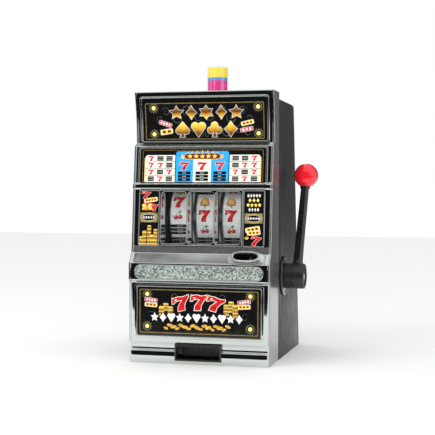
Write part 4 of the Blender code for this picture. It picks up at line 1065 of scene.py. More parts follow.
def belly_art():
    art = Print()
    low, high = BELLY_LOW, BELLY_HIGH
    border(art, low, high, 2.6 * MM, 0.7 * MM, "dark_gold")
    border(art, low, high, 3.8 * MM, 0.25 * MM, "olive")
    for x in (low.x + 12.6 * MM, high.x - 12.6 * MM):
        for z in (low.z + 11 * MM, high.z - 8.6 * MM):
            lamp(art, x, z, MM)
    for sign in (-1, 1):
        for x, z, radius, start in ((30, 84, 6, 200), (46, 72, 5, 120), (60, 60, 5, 30), (26, 44, 5, 300)):
            outline = scroll(x * MM, z * MM, radius * MM, 1.3, start, 1, 0.24)
            art.add(1, "olive", [(sign * u, v) for u, v in outline])
    big_seven(art, 4, -22 * MM, 75.4 * MM, 25 * MM, 17.6 * MM, 14, 0.7 * MM)
    big_seven(art, 4, 21.5 * MM, 75.4 * MM, 25 * MM, 17.6 * MM, -14, 0.7 * MM)
    big_seven(art, 7, 0.5 * MM, 77 * MM, 23 * MM, 19 * MM, 0, 0.8 * MM)
    for k in range(11):
        x = (k - 5) * 10.9 * MM - 2 * MM
        shape = (star(5, 0.5), diamond(), heart())[k % 3]
        art.add(10, "black", put(shape, x, 57.6 * MM, 10.8 * MM, 11.8 * MM), grow=0.9 * MM)
        art.add(11, "white", put(shape, x, 57.6 * MM, 10.8 * MM, 11.8 * MM))
    for sign in (-1, 1):
        for place, base, count, layer in ((42, 66, 4, 2), (36, 62, 4, 5), (47.5, 60, 5, 5)):
            coins = count + (sign > 0) * 2
            coin_stack(art, layer - 1, sign * place * MM, base * MM, 7 * MM, coins, 2.1 * MM)
        ticket(art, 3, "red", sign * 60 * MM - 1.5 * MM, 79 * MM, 16 * MM, 4.4 * MM, sign * 8)
        ticket(art, 3, "yellow", sign * 60 * MM - 1.5 * MM, 73 * MM, 15.5 * MM, 4.6 * MM, sign * 4)
    for k in range(17):
        x = (-42 + 5 * k) * MM
        sink = ((k * 5) % 3 - 1) * 2.0
        radius = (3.1 + (k % 3) * 0.5) * MM
        loose_coin(art, (1, 3, 5)[k % 3], x, (46 + sink) * MM, radius, 14 * (k % 4) - 20, 0.5)
    return art.made("belly_print", [], laid_on_front)


def cherry_art(art, s):
    """Two cherries on their stalks, with a leaf."""
    x = SYMBOL_X
    for u, v, layer in ((-2.8, -2.4, 2), (2.8, -1.8, 4)):
        art.add(layer, "dark_red", ellipse(x + u * MM, s + v * MM, 2.95 * MM, 2.75 * MM, 20))
        art.add(layer + 1, "red", ellipse(x + (u - 0.2) * MM, s + (v + 0.2) * MM, 2.5 * MM, 2.3 * MM, 20))
        art.add(layer + 2, "cream", ellipse(x + (u - 0.9) * MM, s + (v + 0.9) * MM, 0.7 * MM, 0.5 * MM, 10))
        stalk = [(u, v + 2.4), (u * 0.7 + 0.2, v + 4.6), (0.9, 5.0)]
        back = [(w + 0.75, z) for w, z in reversed(stalk)]
        art.add(layer, "green", [(x + w * MM, s + z * MM) for w, z in stalk + back])
    leaf = ellipse(0, 0, 0.5, 0.5, 14)
    art.add(6, "green", put(leaf, x + 2.4 * MM, s + 4.6 * MM, 4.6 * MM, 2.2 * MM, 14))


def bell_art(art, s):
    """A gold bell in front of a red burst."""
    x = SYMBOL_X
    art.add(2, "red", put(star(8, 0.6), x, s - 1 * MM, 15 * MM, 12 * MM))
    art.add(3, "maroon", put(bell(), x, s, 12 * MM, 13 * MM), grow=0.5 * MM)
    art.add(4, "gold", put(bell(), x, s, 12 * MM, 13 * MM))
    art.add(5, "cream", ellipse(x - 1.8 * MM, s + 2 * MM, 0.8 * MM, 2.4 * MM, 12))
    art.add(5, "maroon", rectangle(x - 5.4 * MM, s - 4.2 * MM, x + 5.4 * MM, s - 3.4 * MM))
    art.add(5, "dark_gold", ellipse(x, s - 6 * MM, 1.6 * MM, 1.4 * MM, 12))


def reel_seven_art(art, s):
    art.add(2, "dark_red", put(seven(), SYMBOL_X, s, 16 * MM, 14.6 * MM), grow=0.45 * MM)
    art.add(3, "red", put(seven(), SYMBOL_X, s, 16 * MM, 14.6 * MM))
    glint = [(-0.30, 0.27), (-0.14, 0.29), (-0.16, 0.35), (-0.30, 0.33)]
    art.add(4, "cream", put(glint, SYMBOL_X, s, 16 * MM, 14.6 * MM))


def reel_bars_art(art, s):
    stacked_bars(art, 2, -1 * MM, s, 25.5 * MM, 14.6 * MM)


SYMBOL_ARTS = {"c": cherry_art, "7": reel_seven_art, "b": bell_art, "r": reel_bars_art}
REEL_ORDERS = ("c7brc7rb", "7brc7brc", "7bcr7brc")


def reel_art(number):
    """Sixteen symbols wrapped round one reel."""
    art = Print()
    around = 2 * math.pi * REEL_RADIUS
    order = REEL_ORDERS[number - 1]
    for k in range(SYMBOLS):
        order_place = k if k < SYMBOLS / 2 else k - SYMBOLS
        drawing = SYMBOL_ARTS[order[k % len(order)]]
        if number == 1 and k == SYMBOLS - 1:
            drawing = reel_bars_art
        drawing(art, SYMBOL_SHIFT + order_place * around / SYMBOLS)
    reach = around / 2 - 0.1 * MM
    for edge in (-13.6, 13.1):
        art.add(1, "grey", rectangle(edge * MM, -reach, (edge + 0.5) * MM, reach))
    middle = REEL_MIDDLES[number - 1]

    def wrap(obj):
        def rule(co):
            angle = co.y / REEL_RADIUS
            reach = REEL_RADIUS + co.z
            y, z = AXLE.y - reach * math.cos(angle), AXLE.z + reach * math.sin(angle)
            return Vector((middle + co.x, y, z))
        return bent(obj, rule)

    return art.made(f"reel_{number}_print", span(-around / 2, around / 2, 3 * MM), wrap)


# Front pieces


def column_place(column, front):
    """Where one column of the shell's surface runs at a level slice."""
    kind, sign, value = column
    if kind == "side":
        return sign * HALF_WIDTH, -value * (front - CORNER)
    if kind == "corner":
        reach = HALF_WIDTH - CORNER
        return sign * (reach + CORNER * math.cos(value)), -(front - CORNER + CORNER * math.sin(value))
    return value, -front


def shell_columns(stops):
    side = [("side", -1, k / 4) for k in range(4)]
    corner = [("corner", -1, math.pi / 2 * k / 8) for k in range(8)]
    reach = HALF_WIDTH - CORNER
    flat_places = sorted(set([round(x, 6) for x in span(-reach, reach, 9 * MM)] + list(stops)))
    left = side + corner
    right = [(kind, 1, value) for kind, _, value in reversed(left)]
    return left + [("flat", 0, x) for x in flat_places] + right


def front_shell():
    """The plated shell: a grid laid over the front's form, opened, then given its wall."""
    window = [BEZEL_LOW.x + 1.5 * MM, BEZEL_HIGH.x - 1.5 * MM, BEZEL_LOW.z + 1.5 * MM, BEZEL_HIGH.z - 1.5 * MM]
    mouth = [MOUTH_LOW.x - 0.3 * MM, MOUTH_HIGH.x + 0.3 * MM, MOUTH_LOW.z - 0.3 * MM, MOUTH_HIGH.z + 0.3 * MM]
    cup_x, cup_z = (CUP_LOW.x + CUP_HIGH.x) / 2, (DECK_LOW + DECK_HIGH) / 2 + 1 * MM
    cup = [cup_x - 17 * MM, cup_x + 17 * MM, cup_z - 5 * MM, cup_z + 5 * MM]
    openings = (window, mouth, cup)
    heights, fronts = FRONT["samples"]
    rows = dict(leanest(list(zip(heights, fronts)), 0.012 * MM))
    for opening in openings:
        for z in opening[2:]:
            rows[z] = front_at(z)
    rows = sorted(rows.items())
    columns = shell_columns([round(x, 6) for opening in openings for x in opening[:2]])
    bpy.ops.object.select_all(action="DESELECT")
    bpy.ops.mesh.primitive_grid_add(x_subdivisions=len(columns) - 1, y_subdivisions=len(rows) - 1, size=1)
    shell = added("front_shell")

    def rule(co):
        height, front = rows[round((co.y + 0.5) * (len(rows) - 1))]
        x, y = column_place(columns[round((co.x + 0.5) * (len(columns) - 1))], front)
        return Vector((x, y, height))

    bent(shell, rule)
    near = -(MARQUEE_LOW.y + MARQUEE_HIGH.y) / 2 * 0.5

    def inside(middle, _):
        return middle.y < -near and any(
            low_x < middle.x < high_x and low_z < middle.z < high_z for low_x, high_x, low_z, high_z in openings
        )

    select_faces(shell, inside)
    with editing(shell):
        bpy.ops.mesh.delete(type="FACE")
    top = SHELL_HIGH.z - 0.01 * MM
    select_points(shell, lambda co: co.z > top)
    with editing(shell, "VERT"):
        bpy.ops.mesh.edge_face_add()
    select_points(shell, lambda co: co.y > -0.01 * MM and co.z > CASE_HIGH.z)
    with editing(shell, "VERT"):
        bpy.ops.mesh.edge_face_add()
    with editing(shell):
        bpy.ops.mesh.select_all(action="SELECT")
        bpy.ops.mesh.normals_make_consistent(inside=False)
    faces = [face for face in shell.data.polygons if face.center.y < -near]
    if sum(face.normal.y for face in faces) > 0:
        with editing(shell):
            bpy.ops.mesh.select_all(action="SELECT")
            bpy.ops.mesh.flip_normals()
    wall = shell.modifiers.new("Wall", "SOLIDIFY")
    wall.thickness = WALL
    wall.offset = -1
    apply_all(shell)
    smooth(shell, 40)
    return fit(shell, "cabinet", "chrome", look_of("plating"), "front_fascia")


def moulding(name, outer, inner, thickness, edge, lift, slices=(), corner=3.5 * MM):
    """A raised frame round a panel, with rounded edges."""
    outlines = [round_rectangle(*outer, corner), round_rectangle(*inner, max(0.6 * MM, corner - 2 * MM))]
    frame_piece = flat(name, outlines, thickness, edge)
    if slices:
        sliced(frame_piece, slices)
    draped(frame_piece, lift)
    return smooth(frame_piece, 40)


def bead(name, outline, radius, lift, closed=True):
    """A round bead laid on the shell along an outline."""
    curve = bpy.data.curves.new(name, "CURVE")
    curve.dimensions = "3D"
    curve.bevel_depth = radius
    curve.bevel_resolution = 3
    curve.use_fill_caps = not closed
    spline = curve.splines.new("POLY")
    spline.points.add(len(outline) - 1)
    for point, (x, z) in zip(spline.points, outline):
        point.co = (x, z, 0, 1)
    spline.use_cyclic_u = closed
    piece = meshed(name, curve)
    draped(piece, lift)
    return smooth(piece, 60)


def edge_bead(side):
    """Bright bead up one front corner of the shell."""
    radius = settings().bead * 1.7
    heights = [z for z, _ in leanest(list(zip(*FRONT["samples"])), 0.02 * MM)]
    heights = [z for z in heights if PLINTH_TOP < z < SHELL_HIGH.z - 0.5 * MM]
    curve = bpy.data.curves.new("edge_bead", "CURVE")
    curve.dimensions = "3D"
    curve.bevel_depth = radius
    curve.bevel_resolution = 4
    curve.use_fill_caps = True
    spline = curve.splines.new("POLY")
    spline.points.add(len(heights) - 1)
    for point, z in zip(spline.points, heights):
        point.co = (side * (HALF_WIDTH - radius * 0.55), -(front_at(z) - radius * 0.8), z, 1)
    bead_piece = meshed("left_edge_bead" if side < 0 else "right_edge_bead", curve)
    return smooth(bead_piece, 60)


def panel_frames():
    """Raised plated frames and beads round the five printed panels."""
    bead_radius = settings().bead
    low, high = MARQUEE_LOW, MARQUEE_HIGH
    slices = span(low.z - 2 * MM, high.z + 5 * MM, 3 * MM)
    frames = [
        moulding(
            "marquee_frame",
            (low.x - 5.2 * MM, low.z - 2.8 * MM, high.x + 5.2 * MM, high.z + 7.0 * MM),
            (low.x - 2.4 * MM, low.z - 0.3 * MM, high.x + 2.4 * MM, high.z + 4.6 * MM),
            2.6 * MM, 1.2 * MM, 1.1 * MM, slices,
        ),
        moulding(
            "paytable_frame",
            (TABLE_LOW.x - 5.0 * MM, TABLE_LOW.z - 1.6 * MM, TABLE_HIGH.x + 5.0 * MM, TABLE_HIGH.z + 3.4 * MM),
            (TABLE_LOW.x - 2.8 * MM, TABLE_LOW.z - 0.2 * MM, TABLE_HIGH.x + 2.8 * MM, TABLE_HIGH.z + 1.4 * MM),
            2.0 * MM, 0.65 * MM, 0.9 * MM, (), 2.6 * MM,
        ),
        moulding(
            "belly_frame",
            (BELLY_LOW.x - 4.3 * MM, BELLY_LOW.z - 4.2 * MM, BELLY_HIGH.x + 4.3 * MM, BELLY_HIGH.z + 3.8 * MM),
            (BELLY_LOW.x - 0.3 * MM, BELLY_LOW.z - 0.3 * MM, BELLY_HIGH.x + 0.3 * MM, BELLY_HIGH.z + 0.3 * MM),
            1.4 * MM, 0.65 * MM, 0.8 * MM, (), 3 * MM,
        ),
    ]
    frames += [edge_bead(-1), edge_bead(1)]
    for sign, side in ((-1, "left"), (1, "right")):
        edges = sorted((sign * (SIDE_LOW.x - 0.4 * MM), sign * (SIDE_HIGH.x + 0.4 * MM)))
        outline = round_rectangle(edges[0], SIDE_LOW.z - 0.2 * MM, edges[1], SIDE_HIGH.z + 0.6 * MM, 1.5 * MM, 3)
        frames.append(bead(f"{side}_side_bead", outline, bead_radius * 0.8, 0.7 * MM))
    inner = BELLY_HIGH.x + 1.2 * MM
    outline = round_rectangle(-inner, BELLY_LOW.z - 1.2 * MM, inner, BELLY_HIGH.z + 1.2 * MM, 1.8 * MM)
    frames.append(bead("belly_bead", outline, bead_radius * 0.8, 1.5 * MM))
    for piece in frames:
        fit(piece, "cabinet", "chrome", look_of("plating"))


def ledge():
    """Stippled strip with its bright rim along the ledge."""
    low, high = INLAY_LOW, INLAY_HIGH
    radius = (high.z - low.z) / 2 - 0.01 * MM
    outline = round_rectangle(low.x, low.z, high.x, high.z, radius, 12)
    strip = flat("ledge_strip", [outline], 0.9 * MM, 0.3 * MM)
    draped(strip, 0.75 * MM)
    smooth(strip)
    fit(strip, "cabinet", "stippled", look_of("stippled_plate"), "ledge_inlay")
    rim = bead("ledge_rim", outline, settings().bead, 0.9 * MM)
    fit(rim, "cabinet", "chrome", look_of("plating"))


def window_bezel():
    """Plated frame with three tunnels back to the reels."""
    face_lift = 3.4 * MM
    mid_z = (BEZEL_LOW.z + BEZEL_HIGH.z) / 2
    thickness = front_at(mid_z) + face_lift + BEZEL_HIGH.y
    outlines = [round_rectangle(BEZEL_LOW.x, BEZEL_LOW.z, BEZEL_HIGH.x, BEZEL_HIGH.z, 1.2 * MM, 3)]
    for middle in REEL_MIDDLES:
        outlines.append(
            round_rectangle(middle - TUNNEL_HALF, TUNNEL_LOW, middle + TUNNEL_HALF, TUNNEL_HIGH, TUNNEL_CORNER, 8)
        )
    bezel = flat("window_bezel", outlines, thickness, settings().rim)
    edge = settings().rim + 0.1 * MM

    def rule(co):
        behind = thickness / 2 - co.z
        face = -(front_at(co.y) + face_lift)
        if behind > edge:
            return Vector((co.x, BEZEL_HIGH.y - (thickness / 2 + co.z), co.y))
        return Vector((co.x, face + behind, co.y))

    bent(bezel, rule)
    smooth(bezel, 50)
    return fit(bezel, "cabinet", "chrome", look_of("plating"), "reel_bezel")


def reel_drum(number):
    """Drum with a rimmed edge, a web and a hub, under its printed strip."""
    low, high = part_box(f"reel_{number}")
    rim, hub, web, bore = 2.4 * MM, 7.5 * MM, 3 * MM, 3.4 * MM
    depth = high.x - low.x
    drum = turned(
        f"reel_drum_{number}",
        [
            (bore, 0), (REEL_RADIUS - 0.3 * MM, 0), (REEL_RADIUS, 0.3 * MM),
            (REEL_RADIUS, depth - 0.3 * MM), (REEL_RADIUS - 0.3 * MM, depth),
            (REEL_RADIUS - rim, depth), (REEL_RADIUS - rim, web), (hub, web), (hub, depth), (bore, depth),
        ],
        along_x(low.x, AXLE.y, AXLE.z),
        128,
    )
    select_faces(drum, lambda middle, normal: abs(normal.x) > 0.9 and (middle.yz - AXLE.yz).length < 1 * MM)
    with editing(drum):
        bpy.ops.mesh.delete(type="FACE")
    with editing(drum, "EDGE"):
        bpy.ops.mesh.select_all(action="DESELECT")
        bpy.ops.mesh.select_non_manifold()
        bpy.ops.mesh.bridge_edge_loops()
    face_out(drum)
    smooth(drum)
    fit(drum, f"reel_{number}", "reel_strip", look_of("strip"), f"reel_{number}")


def cup_place():
    """The tilted plane of the coin cup, on the deck."""
    rise = DECK_HIGH - DECK_LOW
    run = front_at(DECK_LOW - 1 * MM) - front_at(DECK_HIGH + 0.5 * MM)
    tilt = math.pi / 2 - math.atan2(run, rise)
    middle_z = (DECK_LOW + DECK_HIGH) / 2 + 1 * MM
    x = (CUP_LOW.x + CUP_HIGH.x) / 2
    return Matrix.Translation((x, -front_at(middle_z), middle_z)) @ Matrix.Rotation(tilt, 4, "X")


def oval(half_width, half_height):
    """A rounded oblong outline, fuller than an ellipse."""
    return [
        (
            half_width * math.copysign(abs(math.cos(a)) ** 0.8, math.cos(a)),
            half_height * math.copysign(abs(math.sin(a)) ** 0.8, math.sin(a)),
        )
        for a in (2 * math.pi * k / 56 for k in range(56))
    ]


def coin_cup():
    """Oblong plated boss in two steps, with a slot down to the chute."""
    slot = oval(15.3 * MM, 5.5 * MM)
    steps = (
        ("cup_skirt", oval(22.6 * MM, 10.8 * MM), -5.5 * MM, 1.4 * MM),
        ("cup_step", oval(21.0 * MM, 9.5 * MM), 0.5 * MM, 3.4 * MM),
        ("cup_top", oval(19.2 * MM, 8.2 * MM), 2.0 * MM, 6.0 * MM),
    )
    parts = []
    for name, outline, low, high in steps:
        part = flat(name, [outline, slot], high - low, 0.6 * MM)
        bent(part, lambda co, middle=(low + high) / 2: Vector((co.x, co.y, co.z + middle)))
        parts.append(part)
    cup = joined("coin_boss", parts)
    cup.data.transform(cup_place())
    smooth(cup, 50)
    fit(cup, "cabinet", "chrome", look_of("plating"), "coin_cup")


def payout():
    """Black surround with a comb of ribs along its top edge."""
    low, high = MOUTH_LOW, MOUTH_HIGH
    wall = 2 * MM
    surround = flat(
        "payout_surround",
        [
            round_rectangle(low.x, low.z, high.x, high.z, 1.2 * MM, 3),
            round_rectangle(low.x + wall, low.z + wall, high.x - wall, high.z - wall, 0.8 * MM, 3),
        ],
        high.y - low.y,
        0.5 * MM,
    )
    middle = (low.y + high.y) / 2
    bent(surround, lambda co: Vector((co.x, middle - co.z, co.y)))
    smooth(surround)
    fit(surround, "cabinet", "black_gloss", look_of("black_gloss"), "payout_mouth")
    count = 13
    pitch = (high.x - low.x - 2 * wall) / count
    ribs = []
    for k in range(count):
        x = low.x + wall + (k + 0.5) * pitch
        ribs.append(
            block(
                f"rib_{k}",
                (x - pitch * 0.32, low.y + 0.4 * MM, high.z - wall - 2.2 * MM),
                (x + pitch * 0.32, low.y + 5 * MM, high.z - wall + 0.5 * MM),
                0.4 * MM,
            )
        )
    comb = joined("payout_comb", ribs)
    smooth(comb)
    fit(comb, "cabinet", "black_gloss", look_of("black_satin"))


# Back pieces


def rounded_copy(node, name, width, angle=30.0):
    """A copy of a CAD piece, merged, with its sharp edges rounded."""
    source = frame["nodes"][node]
    piece = bpy.data.objects.new(name, source.data.copy())
    bpy.context.collection.objects.link(piece)
    piece.data.materials.clear()
    with editing(piece):
        bpy.ops.mesh.select_all(action="SELECT")
        bpy.ops.mesh.remove_doubles(threshold=2e-6)
        bpy.ops.mesh.dissolve_limited(angle_limit=math.radians(1.0))
    bevel(piece, width, 3, angle)
    return smooth(piece)


def screw(name, place, radius, rise):
    """A pan head with a cross slot, along the place's +Z."""
    head = turned(
        name,
        [(radius, -1.5 * MM), (radius, rise * 0.35), (radius * 0.86, rise * 0.8), (radius * 0.5, rise)],
        None,
        28,
    )
    for turn in (0, math.pi / 2):
        reach, half = radius * 0.62, radius * 0.13
        arm = block(f"{name}_slot", (-reach, -half, rise * 0.2), (reach, half, rise * 2))
        arm.data.transform(Matrix.Rotation(turn, 4, "Z"))
        boolean(head, arm)
    head.data.transform(place)
    return head


def back_place(x, height):
    """A spot on the casing's leaning back, +Z out of it."""
    lean = math.atan2(BACK_RUN, CASE_HIGH.z - CASE_LOW.z)
    y = CASE_HIGH.y - height * math.tan(lean)
    return Matrix.Translation((x, y, height)) @ Matrix.Rotation(-math.pi / 2 + lean, 4, "X")


def casing():
    """Rear casing with its screws, coin door and reset button."""
    shell = rounded_copy("rear_casing", "casing_shell", 0.9 * MM)
    fit(shell, "cabinet", "black_casing", look_of("casing"), "rear_casing")
    screws = []
    places = ((-78, 318), (78, 318), (-78, 170), (78, 170), (-78, 20), (78, 20))
    for number, (x, height) in enumerate(places):
        screws.append(screw(f"screw_{number}", back_place(x * MM, height * MM), 3.1 * MM, 1.4 * MM))
    heads = joined("casing_screws", screws)
    smooth(heads)
    fit(heads, "cabinet", "steel", look_of("steel"))
    door = rounded_copy("rear_door", "coin_door", 0.35 * MM)
    fit(door, "rear_door", "black_casing", look_of("black_satin"), "rear_door")
    button = rounded_copy("reset_button", "jackpot_button", 0.3 * MM)
    fit(button, "reset_button", "red_ball", look_of("red_ball"), "reset_button")


# Handle


def handle_pieces():
    """Flange, hub with its recessed end, arm and red ball."""
    low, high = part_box("handle_flange")
    radius = (high.z - low.z) / 2
    flange = turned(
        "flange_disc",
        [
            (6.5 * MM, 0), (radius - 0.5 * MM, 0), (radius, 0.5 * MM), (radius, 1.7 * MM),
            (radius - 0.9 * MM, high.x - low.x), (radius - 2.6 * MM, high.x - low.x),
            (radius - 3.4 * MM, high.x - low.x - 0.8 * MM), (19 * MM, high.x - low.x - 0.8 * MM),
            (18 * MM, high.x - low.x), (6.5 * MM, high.x - low.x),
        ],
        along_x(low.x, HANDLE.y, HANDLE.z),
        96,
    )
    smooth(flange)
    fit(flange, "cabinet", "black_gloss", look_of("black_gloss"), "handle_flange")
    low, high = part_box("handle_hub")
    radius = (high.z - low.z) / 2
    length = high.x - low.x
    hub = turned(
        "hub_drum",
        [
            (4.6 * MM, 0), (radius - 0.6 * MM, 0), (radius, 0.6 * MM), (radius, 9 * MM),
            (radius - 0.5 * MM, 9.4 * MM), (radius - 0.5 * MM, 10.2 * MM), (radius, 10.6 * MM),
            (radius, length - 1.4 * MM), (radius - 0.4 * MM, length - 0.4 * MM),
            (radius - 1.4 * MM, length), (radius - 3.2 * MM, length),
            (radius - 4 * MM, length - 2.2 * MM), (7.5 * MM, length - 2.2 * MM),
            (7 * MM, length - 1.2 * MM), (4.8 * MM, length - 1.0 * MM), (4.6 * MM, length - 1.6 * MM),
        ],
        along_x(low.x, HANDLE.y, HANDLE.z),
        80,
    )
    smooth(hub)
    fit(hub, "handle", "black_gloss", look_of("black_satin"), "handle_hub")
    ball_low, ball_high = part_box("ball_knob")
    centre = (ball_low + ball_high) / 2
    radius = (ball_high.x - ball_low.x) / 2
    arm_low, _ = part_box("handle_arm")
    root = Vector((arm_low.x + 5.6 * MM, HANDLE.y, HANDLE.z))
    line = centre - root
    along = Matrix.Translation(root) @ line.to_track_quat("Z", "Y").to_matrix().to_4x4()
    reach = line.length
    arm = turned(
        "handle_rod",
        [
            (5.2 * MM, 13 * MM), (6.9 * MM, 13.6 * MM), (6.9 * MM, 18 * MM), (6.2 * MM, 19 * MM),
            (5.9 * MM, 40 * MM), (5.3 * MM, reach - radius - 4 * MM), (5.3 * MM, reach - radius - 2 * MM),
            (6.6 * MM, reach - radius - 1.2 * MM), (6.6 * MM, reach - radius + 1.4 * MM),
            (4 * MM, reach - radius + 2.2 * MM),
        ],
        along,
        40,
    )
    smooth(arm)
    fit(arm, "handle", "black_gloss", look_of("black_gloss"), "handle_arm")
    bpy.ops.object.select_all(action="DESELECT")
    bpy.ops.mesh.primitive_uv_sphere_add(segments=64, ring_count=40, radius=radius)
    ball = added("red_knob")
    cut_at = -radius * 0.93
    with editing(ball):
        bpy.ops.mesh.select_all(action="SELECT")
        bpy.ops.mesh.bisect(plane_co=(0, 0, cut_at), plane_no=(0, 0, -1), use_fill=True, clear_outer=True)
    ball.data.transform(Matrix.Translation(centre) @ line.to_track_quat("Z", "Y").to_matrix().to_4x4())
    smooth(ball, 50)
    fit(ball, "handle", "red_ball", look_of("red_ball"), "ball_knob")


# Light on the top


BANDS = ((0.0, 0.36, "magenta"), (0.36, 0.50, "blue"), (0.50, 1.0, "yellow"))


def band_look(name, colour, glow):
    """Tinted sleeve, brighter in upright streaks of painted highlight."""
    look = Look(name, colour, 0.2, specular_ior_level=0.2)
    # painted highlight: pale upright streaks in the base colour stand in for reflections of the studio lights
    highlight_streak = look.noise(150, 1, (1, 1, 0.02))
    pale = tuple(min(1, part * 0.6 + 0.32) for part in colour)
    look.set("Base Color", look.mix(look.ranged(highlight_streak, 0, 0.7, 0.55, 0.65), colour, pale))
    look.set("Roughness", look.ranged(look.noise(80, 3), 0.12, 0.26, 0.3, 0.7))
    look.set("Normal", look.bump(look.noise(60, 2), 0.1 * MM, 0.2))
    look.set("Emission Color", (*colour, 1))
    look.set("Emission Strength", glow)
    return look.material


def beacon():
    low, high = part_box("beacon_lens")
    centre = (low + high) / 2
    radius, height = (high.x - low.x) / 2, high.z - low.z
    wall = 1.3 * MM
    place = Matrix.Translation((centre.x, centre.y, low.z))
    lens = turned(
        "beacon_cover",
        [
            (radius - wall, 0), (radius, 0), (radius, height - 1.4 * MM),
            (radius - 0.5 * MM, height - 0.4 * MM), (radius - 1.5 * MM, height), (4 * MM, height),
            (4 * MM, height - wall), (radius - wall, height - wall - 0.5 * MM), (radius - wall, 0.4 * MM),
        ],
        place,
        72,
    )
    smooth(lens)
    fit(lens, "cabinet", "clear", look_of("clear_thick"), "beacon_lens")
    low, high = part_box("beacon_sleeve")
    inner, outer = 9.5 * MM, (high.x - low.x) / 2 + 0.5 * MM
    colours = {"magenta": (0.74, 0.0, 0.25), "blue": (0.02, 0.30, 0.74), "yellow": (0.95, 0.70, 0.0)}
    shown = 42.9 * MM * 0.62
    bottom = high.z - shown
    for index, (start, end, colour) in enumerate(BANDS):
        z0 = low.z if index == 0 else bottom + shown * start
        z1 = bottom + shown * end
        band = turned(
            f"beacon_band_{colour}",
            [
                (inner, z0), (outer, z0 + 0.1 * MM), (outer, z1 - 0.2 * MM),
                (outer - 0.3 * MM, z1 - 0.05 * MM), (inner, z1 - 0.05 * MM),
            ],
            Matrix.Translation((centre.x, centre.y, 0)),
            64,
        )
        smooth(band)
        fit(band, "cabinet", "beacon_colour", band_look(f"band_{colour}", colours[colour], 0.18))
    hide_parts("beacon_sleeve")


# CAD pieces that keep their shape


NODE_LOOKS = {
    "panel": ("marquee_panel", "paytable_panel", "belly_panel", "left_side_panel", "right_side_panel"),
    "clear": ("reel_lens", "beacon_bulb"),
    "grey_plastic": (
        "index_wheel_1", "index_wheel_2", "index_wheel_3", "reel_pinion", "drive_gear", "shaft_bush",
        "coin_chute", "coin_hopper",
    ),
    "steel": (
        "stop_pawl_1", "stop_pawl_2", "stop_pawl_3", "pawl_shaft", "left_bracket", "right_bracket", "reel_axle",
        "handle_shaft", "hub_screw", "return_spring", "gate_pin", "door_pin", "cover_screw",
    ),
    "black_satin": ("payout_gate", "base_plate", "battery_cover", "battery_box", "speaker", "beacon_base"),
    "rubber": ("rubber_foot_1", "rubber_foot_2", "rubber_foot_3", "rubber_foot_4"),
}


def circuit_look():
    look = Look("solder_mask", (0.01, 0.12, 0.04), 0.3, coat_weight=0.4)
    lines = look.cells(160, "DISTANCE_TO_EDGE")
    track = look.maths("LESS_THAN", lines, 0.06)
    look.set("Base Color", look.mix(track, (0.01, 0.12, 0.04), (0.05, 0.24, 0.10)))
    look.set("Normal", look.bump(lines, 0.05 * MM, 0.5))
    return look.material


def cell_look():
    look = Look("cell_sleeve", (0.03, 0.03, 0.035), 0.25, coat_weight=0.3)
    along = look.ranged(look.part("X"), 0, 1, -25 * MM, 25 * MM)
    stops = (0.0, (0.03, 0.03, 0.035)), (0.72, (0.5, 0.26, 0.05))
    look.set("Base Color", look.ramp(along, *stops, constant=True))
    look.set("Roughness", look.ranged(look.noise(80, 3), 0.2, 0.32, 0.3, 0.7))
    return look.material


def kept_pieces():
    looks = {name: look_of(key) for key, names in NODE_LOOKS.items() for name in names}
    looks["circuit_board"] = circuit_look()
    cell = cell_look()
    looks.update({f"battery_{number}": cell for number in (1, 2, 3)})
    for name, look in looks.items():
        for slot in frame["nodes"][name].material_slots:
            slot.material = look


# Stage


LENS, SENSOR = 88.7, 36  # millimetres
CAMERA_PLACE = (0.347, -1.344, 0.213)
CAMERA_HEADING, CAMERA_DIP, CAMERA_ROLL = 0.246, 0.0224, 0.0036  # radians
FLOOR_SIZE = 8
FLOOR_DROP = 0.2 * MM  # keeps the floor clear of the feet


def card(name, location, size, rotation, strength, colour=(1, 1, 1), mottle=0.0):
    """A studio card that only shows in gloss, its light uneven by the mottle."""
    bpy.ops.object.select_all(action="DESELECT")
    bpy.ops.mesh.primitive_plane_add(size=1, location=location, rotation=rotation)
    obj = added(name)
    obj.scale = (size[0], size[1], 1)
    material = bpy.data.materials.new(name)
    material.use_nodes = True
    nodes = material.node_tree.nodes
    nodes.clear()
    emission = nodes.new("ShaderNodeEmission")
    emission.inputs["Color"].default_value = (*colour, 1)
    emission.inputs["Strength"].default_value = strength
    if mottle:
        place = nodes.new("ShaderNodeTexCoord")
        noise = nodes.new("ShaderNodeTexNoise")
        noise.inputs["Scale"].default_value = 3.5
        spread = nodes.new("ShaderNodeMapRange")
        spread.inputs["From Min"].default_value = 0.35
        spread.inputs["From Max"].default_value = 0.65
        spread.inputs["To Min"].default_value = strength * (1 - mottle)
        spread.inputs["To Max"].default_value = strength * (1 + mottle)
        links = material.node_tree.links
        links.new(place.outputs["Object"], noise.inputs["Vector"])
        links.new(noise.outputs["Fac"], spread.inputs["Value"])
        links.new(spread.outputs["Result"], emission.inputs["Strength"])
    output = nodes.new("ShaderNodeOutputMaterial")
    material.node_tree.links.new(emission.outputs[0], output.inputs["Surface"])
    obj.data.materials.append(material)
    obj.visible_camera = False
    obj.visible_diffuse = False
    obj.visible_shadow = False
    obj.visible_transmission = False
    return obj


def area_light(name, location, target, size, energy):
    light = bpy.data.lights.new(name, "AREA")
    light.shape = "RECTANGLE"
    light.size, light.size_y = size
    light.energy = energy
    obj = bpy.data.objects.new(name, light)
    obj.location = location
    obj.rotation_euler = (Vector(target) - Vector(location)).to_track_quat("-Z", "Y").to_euler()
    bpy.context.collection.objects.link(obj)
    return obj


